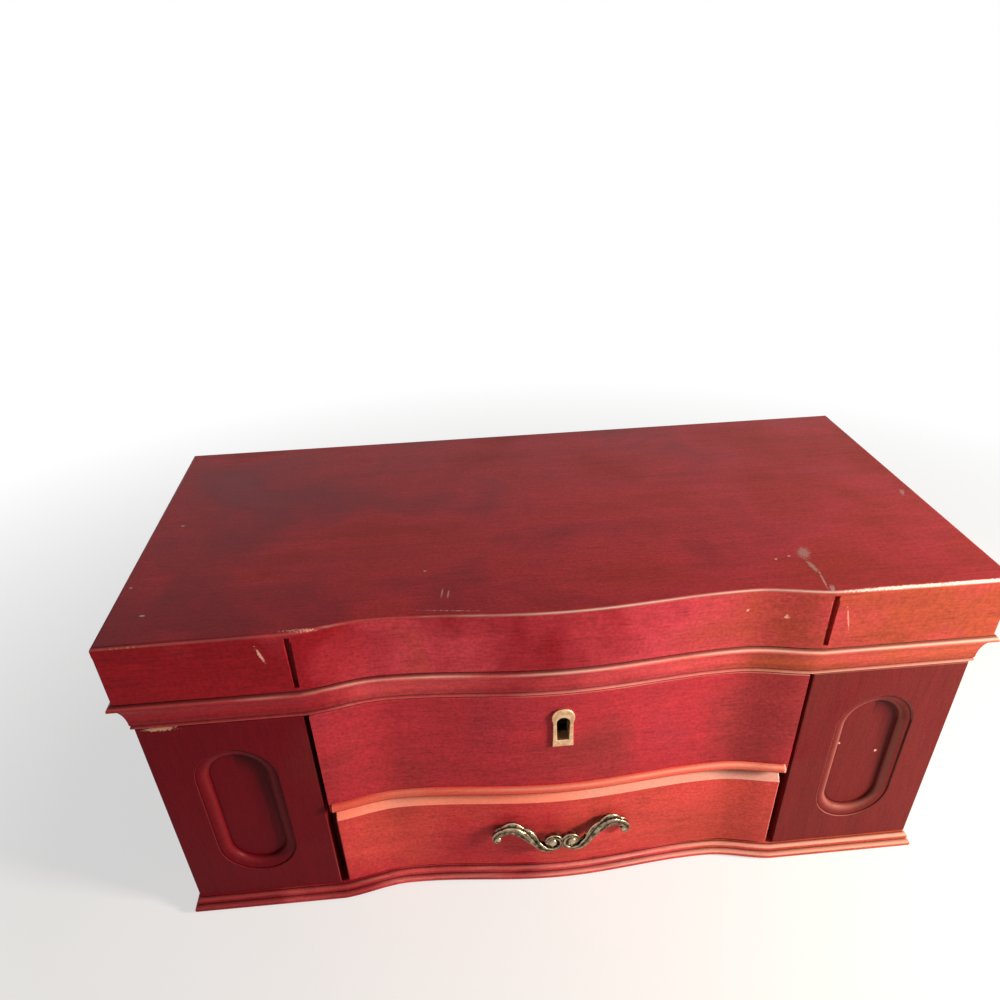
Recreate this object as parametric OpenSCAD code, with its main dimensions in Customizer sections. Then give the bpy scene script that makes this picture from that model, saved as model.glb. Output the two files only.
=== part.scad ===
// Serpentine-front jewellery chest: a mirrored lid over a lined well, one
// drawer below it and a tall necklace door in each front corner.
// All sizes are millimetres. The bay is the curved middle of the front.

/* [Overall] */
// Width of the lid
lid_w = 400; // [360:1:460]
// Depth of the lid, from its straight front corners to the back
lid_d = 202; // [180:1:240]
// Height of the closed lid
lid_h = 31; // [29:0.5:40]
// Height of the front between base and cornice
front_h = 122; // [114:1:150]
// How far the lid stands proud of the carcase front
front_overhang = 5; // [4:0.5:7]
// How far the lid stands proud of each carcase side
side_overhang = 3; // [2.5:0.5:5]
// Gap between the closed lid and the carcase
lid_gap = 0.3; // [0.2:0.05:0.6]

/* [Bay] */
// Half width of the curved bay, to the middle of its slots
bay_half = 119.4; // [112:0.2:130]
// Deepest setback of the curve behind the straight corners
bay_recess = 6.4; // [3:0.2:8]
// Distance of the deepest points from the middle of the bay
trough_x = 83; // [70:1:92]
// Setback of the middle of the bay
bow_setback = 0.65; // [0:0.05:2]
// Width of the slots between the bay and the corners
slot_w = 2.6; // [2:0.1:4]
// Depth of the two slots in the lid front
slot_depth = 3.2; // [2:0.1:4.5]

/* [Boards] */
// Thickness of the front zone, face to back
front_t = 13.5; // [12.5:0.5:18]
// Thickness of the side boards
side_t = 8; // [6:0.5:12]
// Thickness of the back board
back_t = 6; // [4:0.5:10]
// Thickness of the two inner partitions
partition_t = 11; // [8:0.5:14]
// Thickness of the floor under the upper well
floor_t = 5; // [4:0.5:8]
// Thickness of the two corner shelves
shelf_t = 4; // [3:0.5:6]
// Thickness of the velvet covered lining
lining_t = 1.2; // [0.8:0.1:2]

/* [Mouldings] */
// Height of the cornice
cornice_h = 18; // [14:0.5:24]
// How far the cornice stands out from the carcase
cornice_out = 6; // [4:0.5:9]
// Height of the base board
base_h = 9; // [8:0.5:14]
// How far the base stands out from the carcase
base_out = 3.7; // [2.5:0.1:6]
// Radius of the bead along the upper panel
bead_r = 2.6; // [1.8:0.1:3.4]
// How far the upper panel stands proud of the doors
panel_proud = 1; // [0:0.1:2]

/* [Lid] */
// Thickness of the lid's top board
lid_top_t = 5; // [4:0.5:8]
// Radius of the lid's worn top edge
lid_edge_r = 2; // [1:0.25:3]
// Thickness of the lid's side and back rails
lid_rail_t = 9; // [7:0.5:12]
// Thickness of the lined board behind the mirror
mirror_board_t = 4; // [3:0.5:6]
// Width of the visible mirror
mirror_w = 320; // [260:1:330]
// Depth of the visible mirror
mirror_d = 124; // [100:1:140]
// Thickness of the mirror glass
mirror_t = 3; // [2:0.5:4]
// Width of the frame round the mirror
mirror_frame_w = 11; // [8:0.5:16]

/* [Drawer] */
// Height of the drawer front
drawer_front_h = 54; // [50:0.5:58]
// Gap under the drawer front
drawer_front_lift = 1.5; // [1:0.1:2.5]
// Radius of the drawer front's rounded top
drawer_round = 6; // [3:0.5:8]
// How far the drawer front stands proud of the doors
drawer_proud = 0.5; // [0:0.1:2]
// Thickness of the drawer's sides and back
drawer_side_t = 5; // [4:0.5:8]
// Thickness of the drawer's bottom
drawer_bottom_t = 3; // [2:0.5:5]
// Side clearance of the drawer box
drawer_clear = 0.5; // [0.3:0.05:1]
// Space behind the closed drawer
drawer_back_space = 10; // [6:1:30]

/* [Doors] */
// Clearance above and below each corner door
door_clear = 0.8; // [0.5:0.1:1.5]
// Gap between a closed door and the boards behind it
door_seat = 0.3; // [0.2:0.05:0.5]
// Width of the sunk panel in each door
sunk_w = 40; // [30:1:50]
// Height of the sunk panel in each door
sunk_h = 87; // [60:1:100]
// Width of the moulded edge round the sunk field
sunk_edge = 6; // [4:0.5:8]
// Depth of the sunk field
sunk_depth = 4.5; // [3:0.5:6]

/* [Hardware] */
// Radius of the hinge pins
pin_r = 0.9; // [0.7:0.05:1.2]
// Running clearance round a hinge pin
pin_clear = 0.05; // [0.02:0.01:0.09]
// Radius of the lid hinge barrels
lid_barrel_r = 2.3; // [2:0.1:3]
// Radius of the door hinge barrels
door_barrel_r = 1.8; // [1.6:0.1:2.4]
// Length of a lid hinge
lid_hinge_len = 30; // [24:1:44]
// Length of a door hinge
door_hinge_len = 20; // [16:1:30]
// Thickness of the hinge leaves
leaf_t = 0.9; // [0.6:0.1:1.4]
// Distance of each lid hinge from the middle
lid_hinge_x = 120; // [90:1:150]
// Height of the keyhole plate
plate_h = 23.5; // [20:0.5:28]
// Width of the keyhole plate's round head
plate_w = 11.3; // [9:0.1:14]
// Thickness of the keyhole plate
plate_t = 1.4; // [1:0.1:2]
// Height of the keyhole plate's middle above the base
keyhole_rise = 102; // [98:0.5:104]
// Travel of the lock bolt
bolt_travel = 4; // [3:0.1:4]
// Distance between the two posts of the drawer pull
pull_posts = 52; // [46:1:58]
// Height of the pull's volutes above the base
pull_rise = 24.5; // [22:0.5:28]
// How far the middle of the pull's volutes stands in front of the drawer
pull_reach = 4.6; // [4.1:0.1:6]
// How far the middle of the pull's arms stands in front of the drawer
pull_arm_reach = 3.2; // [2.6:0.1:3.4]
// How far the necklace hooks reach behind the doors
hook_reach = 10; // [6:0.5:14]
// Height of the necklace hooks' turned-up ends
hook_rise = 6; // [4:0.5:10]
// Distance of the necklace hooks below the door's top
hook_drop = 24; // [20:1:40]
// Thickness of the felt pads under the base
foot_t = 1.5; // [1:0.25:3]

/* [Hidden] */
$fn = 48;

stain = [0.46, 0.10, 0.11];
stain_lit = [0.58, 0.15, 0.15];
stain_dark = [0.33, 0.05, 0.08];
raw_wood = [0.76, 0.57, 0.40];
velvet = [0.30, 0.04, 0.09];
brass = [0.80, 0.64, 0.36];
bronze = [0.42, 0.38, 0.31];
steel = [0.70, 0.70, 0.72];
mirror_silver = [0.80, 0.85, 0.88];
felt_green = [0.10, 0.28, 0.18];

// Heights of the carcase and the lid.
base_z = foot_t;
base_top = base_z + base_h;
front_top = base_top + front_h;
rim_z = front_top + cornice_h;
lid_z = rim_z + lid_gap;
lid_top_z = lid_z + lid_h;
lid_board_z = lid_top_z - lid_top_t;

// Planes of the carcase, measured from the lid's straight front.
case_w = lid_w - 2 * side_overhang;
case_front = front_overhang;
case_back = lid_d;
inner_front = case_front + front_t;
inner_back = case_back - back_t;
side_inner = case_w / 2 - side_t;
partition_in = bay_half - slot_w / 2 - 2.6;
partition_out = partition_in + partition_t;
bay_edge = bay_half - slot_w / 2;
door_edge = bay_half + slot_w / 2;

// Levels inside the carcase.
well_floor_z = base_top + drawer_front_lift + drawer_front_h - 2;
well_floor_top = well_floor_z + floor_t;
panel_z = well_floor_top - 1;
lining_top = rim_z - 4.5;
shelf_top = rim_z - 20;
shelf_z = shelf_top - shelf_t;

// Half thickness of the pull's scrolls.
scroll_t = 2.2;

// The pull is the foremost point and the hinge barrels are the rearmost.
pull_front = case_front - drawer_proud + bow_setback - pull_reach - scroll_t;
barrel_back = case_back + 2 * lid_barrel_r + 0.1;
centre_y = -(pull_front + barrel_back) / 2;

// Plan of the bay: a quick outer curve, then a long one to the middle.
bay_steps = 44;
bay_lead = 6;
function ease(t) = (1 - cos(180 * t)) / 2;
function outer_part(a) =
    let (span = bay_half + bay_lead - trough_x, start = ease(bay_lead / span))
    (ease((bay_half + bay_lead - a) / span) - start) / (1 - start);
function setback_at(a) = a >= bay_half ? 0
    : a >= trough_x ? bay_recess * outer_part(a)
    : bay_recess - (bay_recess - bow_setback) * ease((trough_x - a) / trough_x);
bay_grid = [for (i = [0 : bay_steps]) -bay_half + 2 * bay_half * i / bay_steps];
bay_table = [for (x = bay_grid) [x, setback_at(abs(x))]];
function setback(x) = lookup(x, bay_table);
function stations(half) = concat([-half],
    [for (x = bay_grid) if (abs(x) < half - 0.5) x], [half]);

module place() { translate([0, centre_y, 0]) children(); }
module block(x0, x1, y0, y1, z0, z1) {
    translate([x0, y0, z0]) cube([x1 - x0, y1 - y0, z1 - z0]);
}
module mirrored(side) {
    if (side < 0) mirror([1, 0, 0]) children();
    else children();
}

// Solid through a row of rings that have the same number of points.
module loft(rings) {
    n = len(rings);
    m = len(rings[0]);
    polyhedron(
        points = [for (r = rings) for (p = r) p],
        faces = concat(
            [[for (j = [0 : m - 1]) j]],
            [[for (j = [m - 1 : -1 : 0]) (n - 1) * m + j]],
            [for (i = [0 : n - 2]) for (j = [0 : m - 1])
                [i * m + j, (i + 1) * m + j, (i + 1) * m + (j + 1) % m]],
            [for (i = [0 : n - 2]) for (j = [0 : m - 1])
                [i * m + j, (i + 1) * m + (j + 1) % m, i * m + (j + 1) % m]]),
        convexity = 6);
}

// Board across the bay: the curved face, and a flat back.
module bay_board(half, face, back, z0, z1) {
    xs = stations(half);
    translate([0, 0, z0]) linear_extrude(z1 - z0)
        polygon(concat([for (x = xs) [x, face + setback(x)]], [[half, back], [-half, back]]));
}

// Length across the bay: a profile of [out, z] points before a flat back.
module bay_profile(half, face, back, profile) {
    last = len(profile) - 1;
    loft([for (x = stations(half)) concat(
        [for (p = profile) [x, face + setback(x) - p[0], p[1]]],
        [[x, back, profile[last][1]], [x, back, profile[0][1]]])]);
}

// Lid

module lid_slots() {
    for (s = [-1, 1])
        block(s * bay_half - slot_w / 2 + 0.1, s * bay_half + slot_w / 2 - 0.1,
            -1, slot_depth, lid_z + 1.8, lid_top_z - lid_edge_r - 0.3);
}

// Outline of the lid, drawn in by a margin all round.
function lid_outline(inset) = concat(
    [[-lid_w / 2 + inset, lid_d - inset], [-lid_w / 2 + inset, inset]],
    [for (x = bay_grid) [x, setback(x) + inset]],
    [[lid_w / 2 - inset, inset], [lid_w / 2 - inset, lid_d - inset]]);

module lid_top() {
    arc = [for (a = [0 : 22.5 : 90]) a];
    levels = concat([[0, lid_board_z]], [for (a = arc)
        [lid_edge_r * (1 - cos(a)), lid_top_z - lid_edge_r * (1 - sin(a))]]);
    color(stain) place() difference() {
        loft([for (q = levels) [for (p = lid_outline(q[0])) [p[0], p[1], q[1]]]]);
        lid_slots();
    }
}

module lid_front_rail() {
    color(stain_lit) place() difference() {
        bay_board(lid_w / 2, 0, inner_front, lid_z, lid_board_z);
        lid_slots();
        strike_pocket();
    }
}

module lid_side_rail(side) {
    color(stain) place() mirrored(side)
        block(lid_w / 2 - lid_rail_t, lid_w / 2, inner_front, lid_d, lid_z, lid_board_z);
}
module lid_side_rail_left() { lid_side_rail(-1); }
module lid_side_rail_right() { lid_side_rail(1); }

module lid_back_rail() {
    half = lid_w / 2 - lid_rail_t;
    color(stain) place() block(-half, half, lid_d - lid_rail_t, lid_d, lid_z, lid_board_z);
}

mirror_mid = (inner_front + lid_d - lid_rail_t) / 2;
mirror_z = lid_board_z - mirror_board_t - mirror_t;
mirror_lip = 3;
frame_lip_t = 2.4;

module mirror_board() {
    half = lid_w / 2 - lid_rail_t - 0.2;
    color(velvet) place() block(-half, half, inner_front + 0.2, lid_d - lid_rail_t - 0.2,
        lid_board_z - mirror_board_t, lid_board_z);
}

module mirror_plate(grow, z0, z1) {
    block(-mirror_w / 2 - grow, mirror_w / 2 + grow,
        mirror_mid - mirror_d / 2 - grow, mirror_mid + mirror_d / 2 + grow, z0, z1);
}

module mirror_glass() {
    color(mirror_silver) place() mirror_plate(mirror_lip, mirror_z, mirror_z + mirror_t);
}

module mirror_frame() {
    color(stain_dark) place() difference() {
        mirror_plate(mirror_frame_w, mirror_z - frame_lip_t, mirror_z + mirror_t);
        mirror_plate(mirror_lip, mirror_z, mirror_z + mirror_t + 1);
        mirror_plate(0, mirror_z - frame_lip_t - 1, mirror_z + mirror_t);
    }
}

// Carcase

// Base levels of [out, z]: two beads, the lower one standing further out.
module base_board() {
    upper = base_out - 1.8;
    bead = base_h * 0.42;
    levels = concat(
        [[base_out - 1.2, base_z]],
        [for (a = [-60 : 30 : 60]) [base_out - 1 + cos(a), base_z + bead * (0.5 + sin(a) / 2)]],
        [[upper - 0.6, base_z + bead + 0.4]],
        [for (a = [-60 : 30 : 90]) [upper - 1 + cos(a), base_z + 1.6 * bead + bead * 0.5 * sin(a)]],
        [[-0.4, base_z + 2.1 * bead + 0.2], [-0.4, base_top]]);
    color(stain) place()
        loft([for (q = levels) concat(
            [[-case_w / 2 - q[0], case_back, q[1]], [-case_w / 2 - q[0], case_front - q[0], q[1]]],
            [for (x = bay_grid) [x, case_front + setback(x) - q[0], q[1]]],
            [[case_w / 2 + q[0], case_front - q[0], q[1]], [case_w / 2 + q[0], case_back, q[1]]])]);
}

module side_board(side) {
    color(stain) place() mirrored(side)
        block(side_inner, case_w / 2, inner_front, case_back, base_top, rim_z);
}
module side_board_left() { side_board(-1); }
module side_board_right() { side_board(1); }

module back_board() {
    color(stain_dark) place()
        block(-side_inner, side_inner, inner_back, case_back, base_top, rim_z);
}

magnet_r = 2.5;
magnet_t = 3;
catch_x = (door_edge + partition_out) / 2;
catch_z = base_top + front_h * 0.55;

module partition(side) {
    color(stain_dark) place() mirrored(side) difference() {
        block(partition_in, partition_out, inner_front, inner_back, base_top, lining_top);
        translate([catch_x, inner_front + magnet_t, catch_z]) rotate([90, 0, 0])
            cylinder(r = magnet_r, h = magnet_t + 1);
    }
}
module partition_left() { partition(-1); }
module partition_right() { partition(1); }

module well_floor() {
    color(raw_wood) place()
        block(-partition_in, partition_in, inner_front, inner_back, well_floor_z, well_floor_top);
}

module shelf(side) {
    color(raw_wood) place() mirrored(side)
        block(partition_out, side_inner, inner_front, inner_back, shelf_z, shelf_top);
}
module shelf_left() { shelf(-1); }
module shelf_right() { shelf(1); }

panel_face = case_front - panel_proud;
module front_panel() {
    color(stain_lit) place() difference() {
        bay_board(bay_edge, panel_face, inner_front, panel_z, front_top);
        lock_pocket();
        keyhole_cut(panel_face - 2, lock_front, 0.3);
    }
}

module front_rail() {
    color(stain) place() difference() {
        bay_board(case_w / 2, case_front, inner_front, front_top, rim_z);
        lock_pocket();
    }
}

module panel_bead() {
    arc = [for (a = [-90 : 18 : 90]) a];
    color(stain_lit) place()
        loft([for (x = stations(bay_edge - 1.6)) [for (a = arc)
            [x, panel_face + setback(x) - bead_r * cos(a), panel_z + 0.3 + bead_r * (1 + sin(a))]]]);
}

// Cornice profile of [out, z], from its foot up to the top edge.
cornice_profile = concat(
    [[0, front_top], [0.9, front_top + 0.6], [1.1, front_top + 1.4], [0.6, front_top + 2.4]],
    [for (a = [0 : 18 : 90]) [1 + (cornice_out - 1) * (1 - cos(a)),
        front_top + 3 + (cornice_h - 6) * sin(a)]],
    [[cornice_out, rim_z - 2], [cornice_out - 0.5, rim_z - 1.2], [cornice_out - 2.2, rim_z]]);

// Section of a cornice strip, closed against the board behind it.
cornice_section = concat(cornice_profile, [[0, rim_z]]);

module cornice_front() {
    half = case_w / 2;
    function mitre(s) = [for (p = cornice_section) [s * (half + p[0]), case_front - p[0], p[1]]];
    color(stain) place() loft(concat([mitre(-1)],
        [for (x = bay_grid) [for (p = cornice_section) [x, case_front + setback(x) - p[0], p[1]]]],
        [mitre(1)]));
}

module cornice_side(side) {
    half = case_w / 2;
    color(stain) place() mirrored(side) difference() {
        translate([half, case_back, 0]) rotate([90, 0, 0])
            linear_extrude(case_back - case_front + cornice_out + 1) polygon(cornice_section);
        translate([half, case_front, front_top - 1]) rotate([0, 0, -45])
            translate([-1, -4 * cornice_out, 0]) cube([4 * cornice_out, 4 * cornice_out, cornice_h + 2]);
    }
}
module cornice_left() { cornice_side(-1); }
module cornice_right() { cornice_side(1); }

module felt_pads() {
    inset = 18;
    color(felt_green) place()
        for (x = [-1, 1], y = [case_front + inset, case_back - inset])
            translate([x * (case_w / 2 - inset), y, 0]) cylinder(r = 9, h = foot_t);
}

// Linings

// Open lined box: outer faces on the boards, open at the top.
module tub(x0, x1, y0, y1, z0, z1) {
    difference() {
        block(x0, x1, y0, y1, z0, z1);
        block(x0 + lining_t, x1 - lining_t, y0 + lining_t, y1 - lining_t, z0 + lining_t, z1 + 1);
    }
}

module well_lining() {
    color(velvet) place()
        tub(-partition_in, partition_in, inner_front, inner_back, well_floor_top, lining_top);
}

module ring_rolls() {
    x0 = partition_out + 0.3;
    x1 = side_inner - 0.3;
    y0 = inner_front + 0.3;
    count = 13;
    pitch = (inner_back - 0.3 - y0) / count;
    color(velvet) place() mirrored(-1) {
        block(x0, x1, y0, inner_back - 0.3, shelf_top + 0.3, shelf_top + 4);
        for (i = [0 : count - 1])
            translate([x0, y0 + pitch * (i + 0.5), shelf_top + 0.3 + pitch * 0.48])
                rotate([0, 90, 0]) cylinder(r = pitch * 0.48, h = x1 - x0);
    }
}

module tray_lining_right() {
    cell = (inner_back - inner_front) / 3;
    wall = 1.25 * lining_t;
    color(velvet) place() {
        tub(partition_out, side_inner, inner_front, inner_back, shelf_top, lining_top);
        for (i = [1, 2])
            block(partition_out + lining_t / 2, side_inner - lining_t / 2,
                inner_front + cell * i - wall, inner_front + cell * i + wall,
                shelf_top + lining_t / 2, lining_top - 1.5 * lining_t);
    }
}

module necklace_lining(side) {
    color(velvet) place() mirrored(side) difference() {
        block(partition_out, side_inner, inner_front + 4, inner_back, base_top, shelf_z);
        block(partition_out + lining_t, side_inner - lining_t, inner_front, inner_back - lining_t,
            base_top + lining_t, shelf_z - lining_t);
    }
}
module necklace_lining_left() { necklace_lining(-1); }
module necklace_lining_right() { necklace_lining(1); }

// Lock

lock_w = 40;
lock_h = 48;
lock_t = 8;
strike_d = 6;
strike_t = 1.2;
lock_front = inner_front - lock_t;
lock_mid = inner_front - lock_t / 2;
keyhole_z = base_z + base_h + keyhole_rise;
eye_x = 10;
eye_t = 2;
eye_w = 5;
eye_drop = 8.2;
eye_hole_z = lid_z - 7.1;
eye_hole_w = 3.4;
eye_hole_h = 4.4;

module lock_pocket() { block(-lock_w / 2, lock_w / 2, lock_front, inner_front + 1, rim_z - lock_h, rim_z + 1); }
module strike_pocket() {
    block(-lock_w / 2, lock_w / 2, lock_mid - strike_d / 2, lock_mid + strike_d / 2,
        lid_z - 1, lid_z + strike_t);
}

// Keyhole opening: an arched head over a tapering foot.
module keyhole_cut(y0, y1, grow) {
    translate([0, y1, keyhole_z]) rotate([90, 0, 0]) linear_extrude(y1 - y0) {
        translate([0, 3.2]) circle(r = 3.2 + grow);
        polygon([[-3.15 - grow, 3.2], [-2.9 - grow, -7.8 - grow],
            [2.9 + grow, -7.8 - grow], [3.15 + grow, 3.2]]);
    }
}

module lock_case() {
    chamber_left = -eye_x - 7.4;
    chamber_right = eye_x + 3.4;
    color(brass) place() difference() {
        block(-lock_w / 2, lock_w / 2, lock_front, inner_front, rim_z - lock_h, rim_z);
        block(chamber_left, chamber_right, lock_mid - 1.3, lock_mid + 1.3,
            eye_hole_z - 8, eye_hole_z + eye_hole_h + 0.4);
        for (s = [-1, 1])
            block(s * eye_x - eye_t / 2 - 0.4, s * eye_x + eye_t / 2 + 0.4,
                lock_mid - eye_w / 2 - 0.4, lock_mid + eye_w / 2 + 0.4,
                lid_z - eye_drop - 0.4, rim_z + 1);
        difference() {
            keyhole_cut(lock_front - 1, lock_front + 4, -0.4);
            translate([0, lock_front + 5, keyhole_z + 3.2]) rotate([90, 0, 0])
                cylinder(r = 0.9, h = 6);
        }
    }
}

// Comb-shaped bolt: a rail under the eyes and two fingers beside them.
module lock_bolt() {
    rail_z = eye_hole_z - 7.6;
    finger_z = eye_hole_z + 0.8;
    finger_top = finger_z + 2.8;
    color(steel) place() {
        block(-eye_x - 7, eye_x - 5.5, lock_mid - 1, lock_mid + 1, rail_z, rail_z + 4);
        for (s = [-1, 1]) {
            block(s * eye_x - 7, s * eye_x - 5.5, lock_mid - 1, lock_mid + 1,
                rail_z + 3, finger_top);
            block(s * eye_x - 6, s * eye_x - 1.6, lock_mid - 1, lock_mid + 1,
                finger_z, finger_top);
        }
    }
}

module strike_plate() {
    color(brass) place()
        block(-lock_w / 2, lock_w / 2, lock_mid - strike_d / 2, lock_mid + strike_d / 2,
            lid_z, lid_z + strike_t);
}

module strike_eyes() {
    color(brass) place() for (s = [-1, 1]) difference() {
        block(s * eye_x - eye_t / 2, s * eye_x + eye_t / 2,
            lock_mid - eye_w / 2, lock_mid + eye_w / 2, lid_z - eye_drop, lid_z);
        block(s * eye_x - eye_t, s * eye_x + eye_t,
            lock_mid - eye_hole_w / 2, lock_mid + eye_hole_w / 2,
            eye_hole_z, eye_hole_z + eye_hole_h);
    }
}

module keyhole_plate() {
    face = panel_face + setback(0);
    head = plate_w / 2;
    color(brass) place() difference() {
        translate([0, face, keyhole_z]) rotate([90, 0, 0]) linear_extrude(plate_t) {
            translate([0, plate_h / 2 - head]) circle(r = head);
            polygon([[-head * 0.86, plate_h / 2 - head], [-head * 0.9, -plate_h / 2],
                [head * 0.9, -plate_h / 2], [head * 0.86, plate_h / 2 - head]]);
        }
        keyhole_cut(face - plate_t - 1, face + 1, 0);
    }
}

// Drawer

drawer_face = case_front - drawer_proud;
drawer_half = partition_in - drawer_clear;
drawer_front_half = bay_edge - 1.9;
drawer_front_z = base_top + drawer_front_lift;
drawer_front_top = drawer_front_z + drawer_front_h;
drawer_box_front = inner_front - 0.3;
drawer_box_back = inner_back - drawer_back_space;
drawer_box_z = base_top + 0.3;
drawer_box_top = well_floor_z - 2;
drawer_floor_z = drawer_box_z + 2;
post_r = 2.6;
screw_r = 1.75;
screw_clear = 0.3;
screw_head_r = 3.4;
screw_head_t = 2.4;
pull_z = base_top + pull_rise;
post_lift = 8.8;

module pull_screw_axes() {
    for (s = [-1, 1])
        translate([s * pull_posts / 2, 0, pull_z + post_lift]) rotate([-90, 0, 0]) children();
}

module drawer_front() {
    crown = [for (a = [0 : 15 : 75]) [-drawer_round * (1 - cos(a)),
        drawer_front_top - drawer_round * (1 - sin(a))]];
    profile = concat([[-1, drawer_front_z], [0, drawer_front_z + 1]], crown,
        [[-drawer_round, drawer_front_top]]);
    color(stain_lit) place() difference() {
        bay_profile(drawer_front_half, drawer_face, drawer_box_front, profile);
        pull_screw_axes() cylinder(r = screw_r + screw_clear, h = drawer_box_front + 1);
        pull_screw_axes() translate([0, 0, drawer_box_front - screw_head_t - 0.2])
            cylinder(r = screw_head_r + 0.3, h = screw_head_t + 1);
    }
}

module drawer_side(side) {
    color(raw_wood) place() mirrored(side)
        block(drawer_half - drawer_side_t, drawer_half, drawer_box_front, drawer_box_back,
            drawer_box_z, drawer_box_top);
}
module drawer_side_left() { drawer_side(-1); }
module drawer_side_right() { drawer_side(1); }

module drawer_back() {
    half = drawer_half - drawer_side_t;
    color(raw_wood) place() block(-half, half, drawer_box_back - drawer_side_t, drawer_box_back,
        drawer_box_z, drawer_box_top - 3);
}

module drawer_bottom() {
    half = drawer_half - drawer_side_t;
    color(raw_wood) place() block(-half, half, drawer_box_front, drawer_box_back - drawer_side_t,
        drawer_floor_z, drawer_floor_z + drawer_bottom_t);
}

module drawer_lining() {
    half = drawer_half - drawer_side_t;
    color(velvet) place() tub(-half, half, drawer_box_front, drawer_box_back - drawer_side_t,
        drawer_floor_z + drawer_bottom_t, drawer_box_top - 4);
}

// Half of the pull as [across, up, half height, half thickness] along its scroll.
scroll_turn = [for (i = [0 : 14]) let (s = i / 14, a = -90 - 430 * (1 - s), r = 1.4 + 3.9 * s)
    [5.2 + r * cos(a), r * sin(a) + 0.4, 0.9 + 0.7 * s, 1.6 + 0.6 * s]];
scroll_arm = [[9.5, -4.3, 2.0, 2.2], [13.4, -0.7, 2.6, 2.2], [17.2, 4.1, 3.0, 2.1],
    [21.5, 7.9, 3.2, 2.0], [26.5, 9.5, 3.1, 2.0], [31, 8.1, 2.7, 1.9],
    [34.2, 4.8, 2.1, 1.7], [35.6, 1.4, 1.6, 1.5], [34.4, -0.4, 1.0, 1.2]];
scroll_path = concat(scroll_turn, scroll_arm);
function tangent(i) = let (n = len(scroll_path) - 1,
    d = [for (k = [0, 1]) scroll_path[min(i + 1, n)][k] - scroll_path[max(i - 1, 0)][k]])
    d / norm(d);

// The middle of the pull in plan: volutes in front, arms close to the curved drawer.
volute_y = drawer_face + bow_setback - pull_reach;
function pull_y(a) = let (t = ease(min(1, max(0, (a - 8) / 18))))
    (1 - t) * volute_y + t * (drawer_face + setback(a) - pull_arm_reach);

module pull_half() {
    loft([for (i = [0 : len(scroll_path) - 1])
        let (p = scroll_path[i], t = tangent(i))
        [for (k = [0 : 7]) let (a = 45 * k)
            [p[0] - t[1] * p[2] * cos(a), pull_y(p[0]) - p[3] * sin(a),
                pull_z + p[1] + t[0] * p[2] * cos(a)]]]);
}

module drawer_pull() {
    arm_y = pull_y(pull_posts / 2);
    face = drawer_face + setback(pull_posts / 2 - post_r) - 0.02;
    color(bronze) place() difference() {
        union() {
            pull_half();
            mirror([1, 0, 0]) pull_half();
            translate([0, volute_y, pull_z]) sphere(r = scroll_t);
            pull_screw_axes() translate([0, 0, arm_y]) cylinder(r = post_r, h = face - arm_y);
        }
        pull_screw_axes() translate([0, 0, arm_y])
            cylinder(r = screw_r + pin_clear, h = face - arm_y + 1);
    }
}

module pull_screws() {
    tip = pull_y(pull_posts / 2) + 0.3;
    color(steel) place() pull_screw_axes() {
        translate([0, 0, tip]) cylinder(r = screw_r, h = drawer_box_front - 0.2 - tip);
        translate([0, 0, drawer_box_front - screw_head_t - 0.2])
            cylinder(r = screw_head_r, h = screw_head_t);
    }
}

// Doors

door_z = base_top + door_clear;
door_top = front_top - door_clear;
door_back = inner_front - door_seat;
door_mid_x = (door_edge + case_w / 2) / 2;
door_mid_z = (door_z + door_top) / 2;

// Cutter for the sunk panel: a small step, then a cove down to the field.
module sunk_panel_cut() {
    half = sunk_w / 2;
    step = 0.8;
    cove = sunk_edge - 1;
    rise = sunk_depth - step;
    section = concat([[0, -1], [half, -1], [half, step]],
        [for (a = [0 : 22.5 : 90])
            [half - 1 - cove * sin(a), step + rise * (1 - cos(a))]],
        [[0, sunk_depth]]);
    reach = sunk_h / 2 - half;
    translate([door_mid_x, case_front, door_mid_z]) rotate([-90, 0, 0]) {
        for (s = [-1, 1]) translate([0, s * reach, 0]) rotate_extrude() polygon(section);
        rotate([90, 0, 0]) translate([0, 0, -reach]) linear_extrude(2 * reach)
            polygon(concat(section, [for (i = [len(section) - 1 : -1 : 0])
                [-section[i][0], section[i][1]]]));
    }
}

module door(side) {
    color(stain_dark) place() mirrored(side) difference() {
        block(door_edge, case_w / 2, case_front, door_back, door_z, door_top);
        sunk_panel_cut();
        translate([catch_x, door_back - 1, catch_z]) rotate([-90, 0, 0])
            cylinder(r = magnet_r, h = 2);
    }
}
module door_left() { door(-1); }
module door_right() { door(1); }

module catch_magnets() {
    color(steel) place() for (s = [-1, 1])
        translate([s * catch_x, inner_front + magnet_t, catch_z]) rotate([90, 0, 0])
            cylinder(r = magnet_r, h = magnet_t);
}

module catch_plate(side) {
    color(steel) place() mirrored(side)
        translate([catch_x, door_back - 1, catch_z]) rotate([-90, 0, 0])
            cylinder(r = magnet_r, h = 1);
}
module catch_plate_left() { catch_plate(-1); }
module catch_plate_right() { catch_plate(1); }

// Four brass hooks in the back of each door, a screw stem and a turned-up end.
hook_count = 4;
hook_wire_r = hook_reach / 10;
hook_pitch = (side_inner - partition_out - 2 * lining_t) / (hook_count + 0.6);

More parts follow.
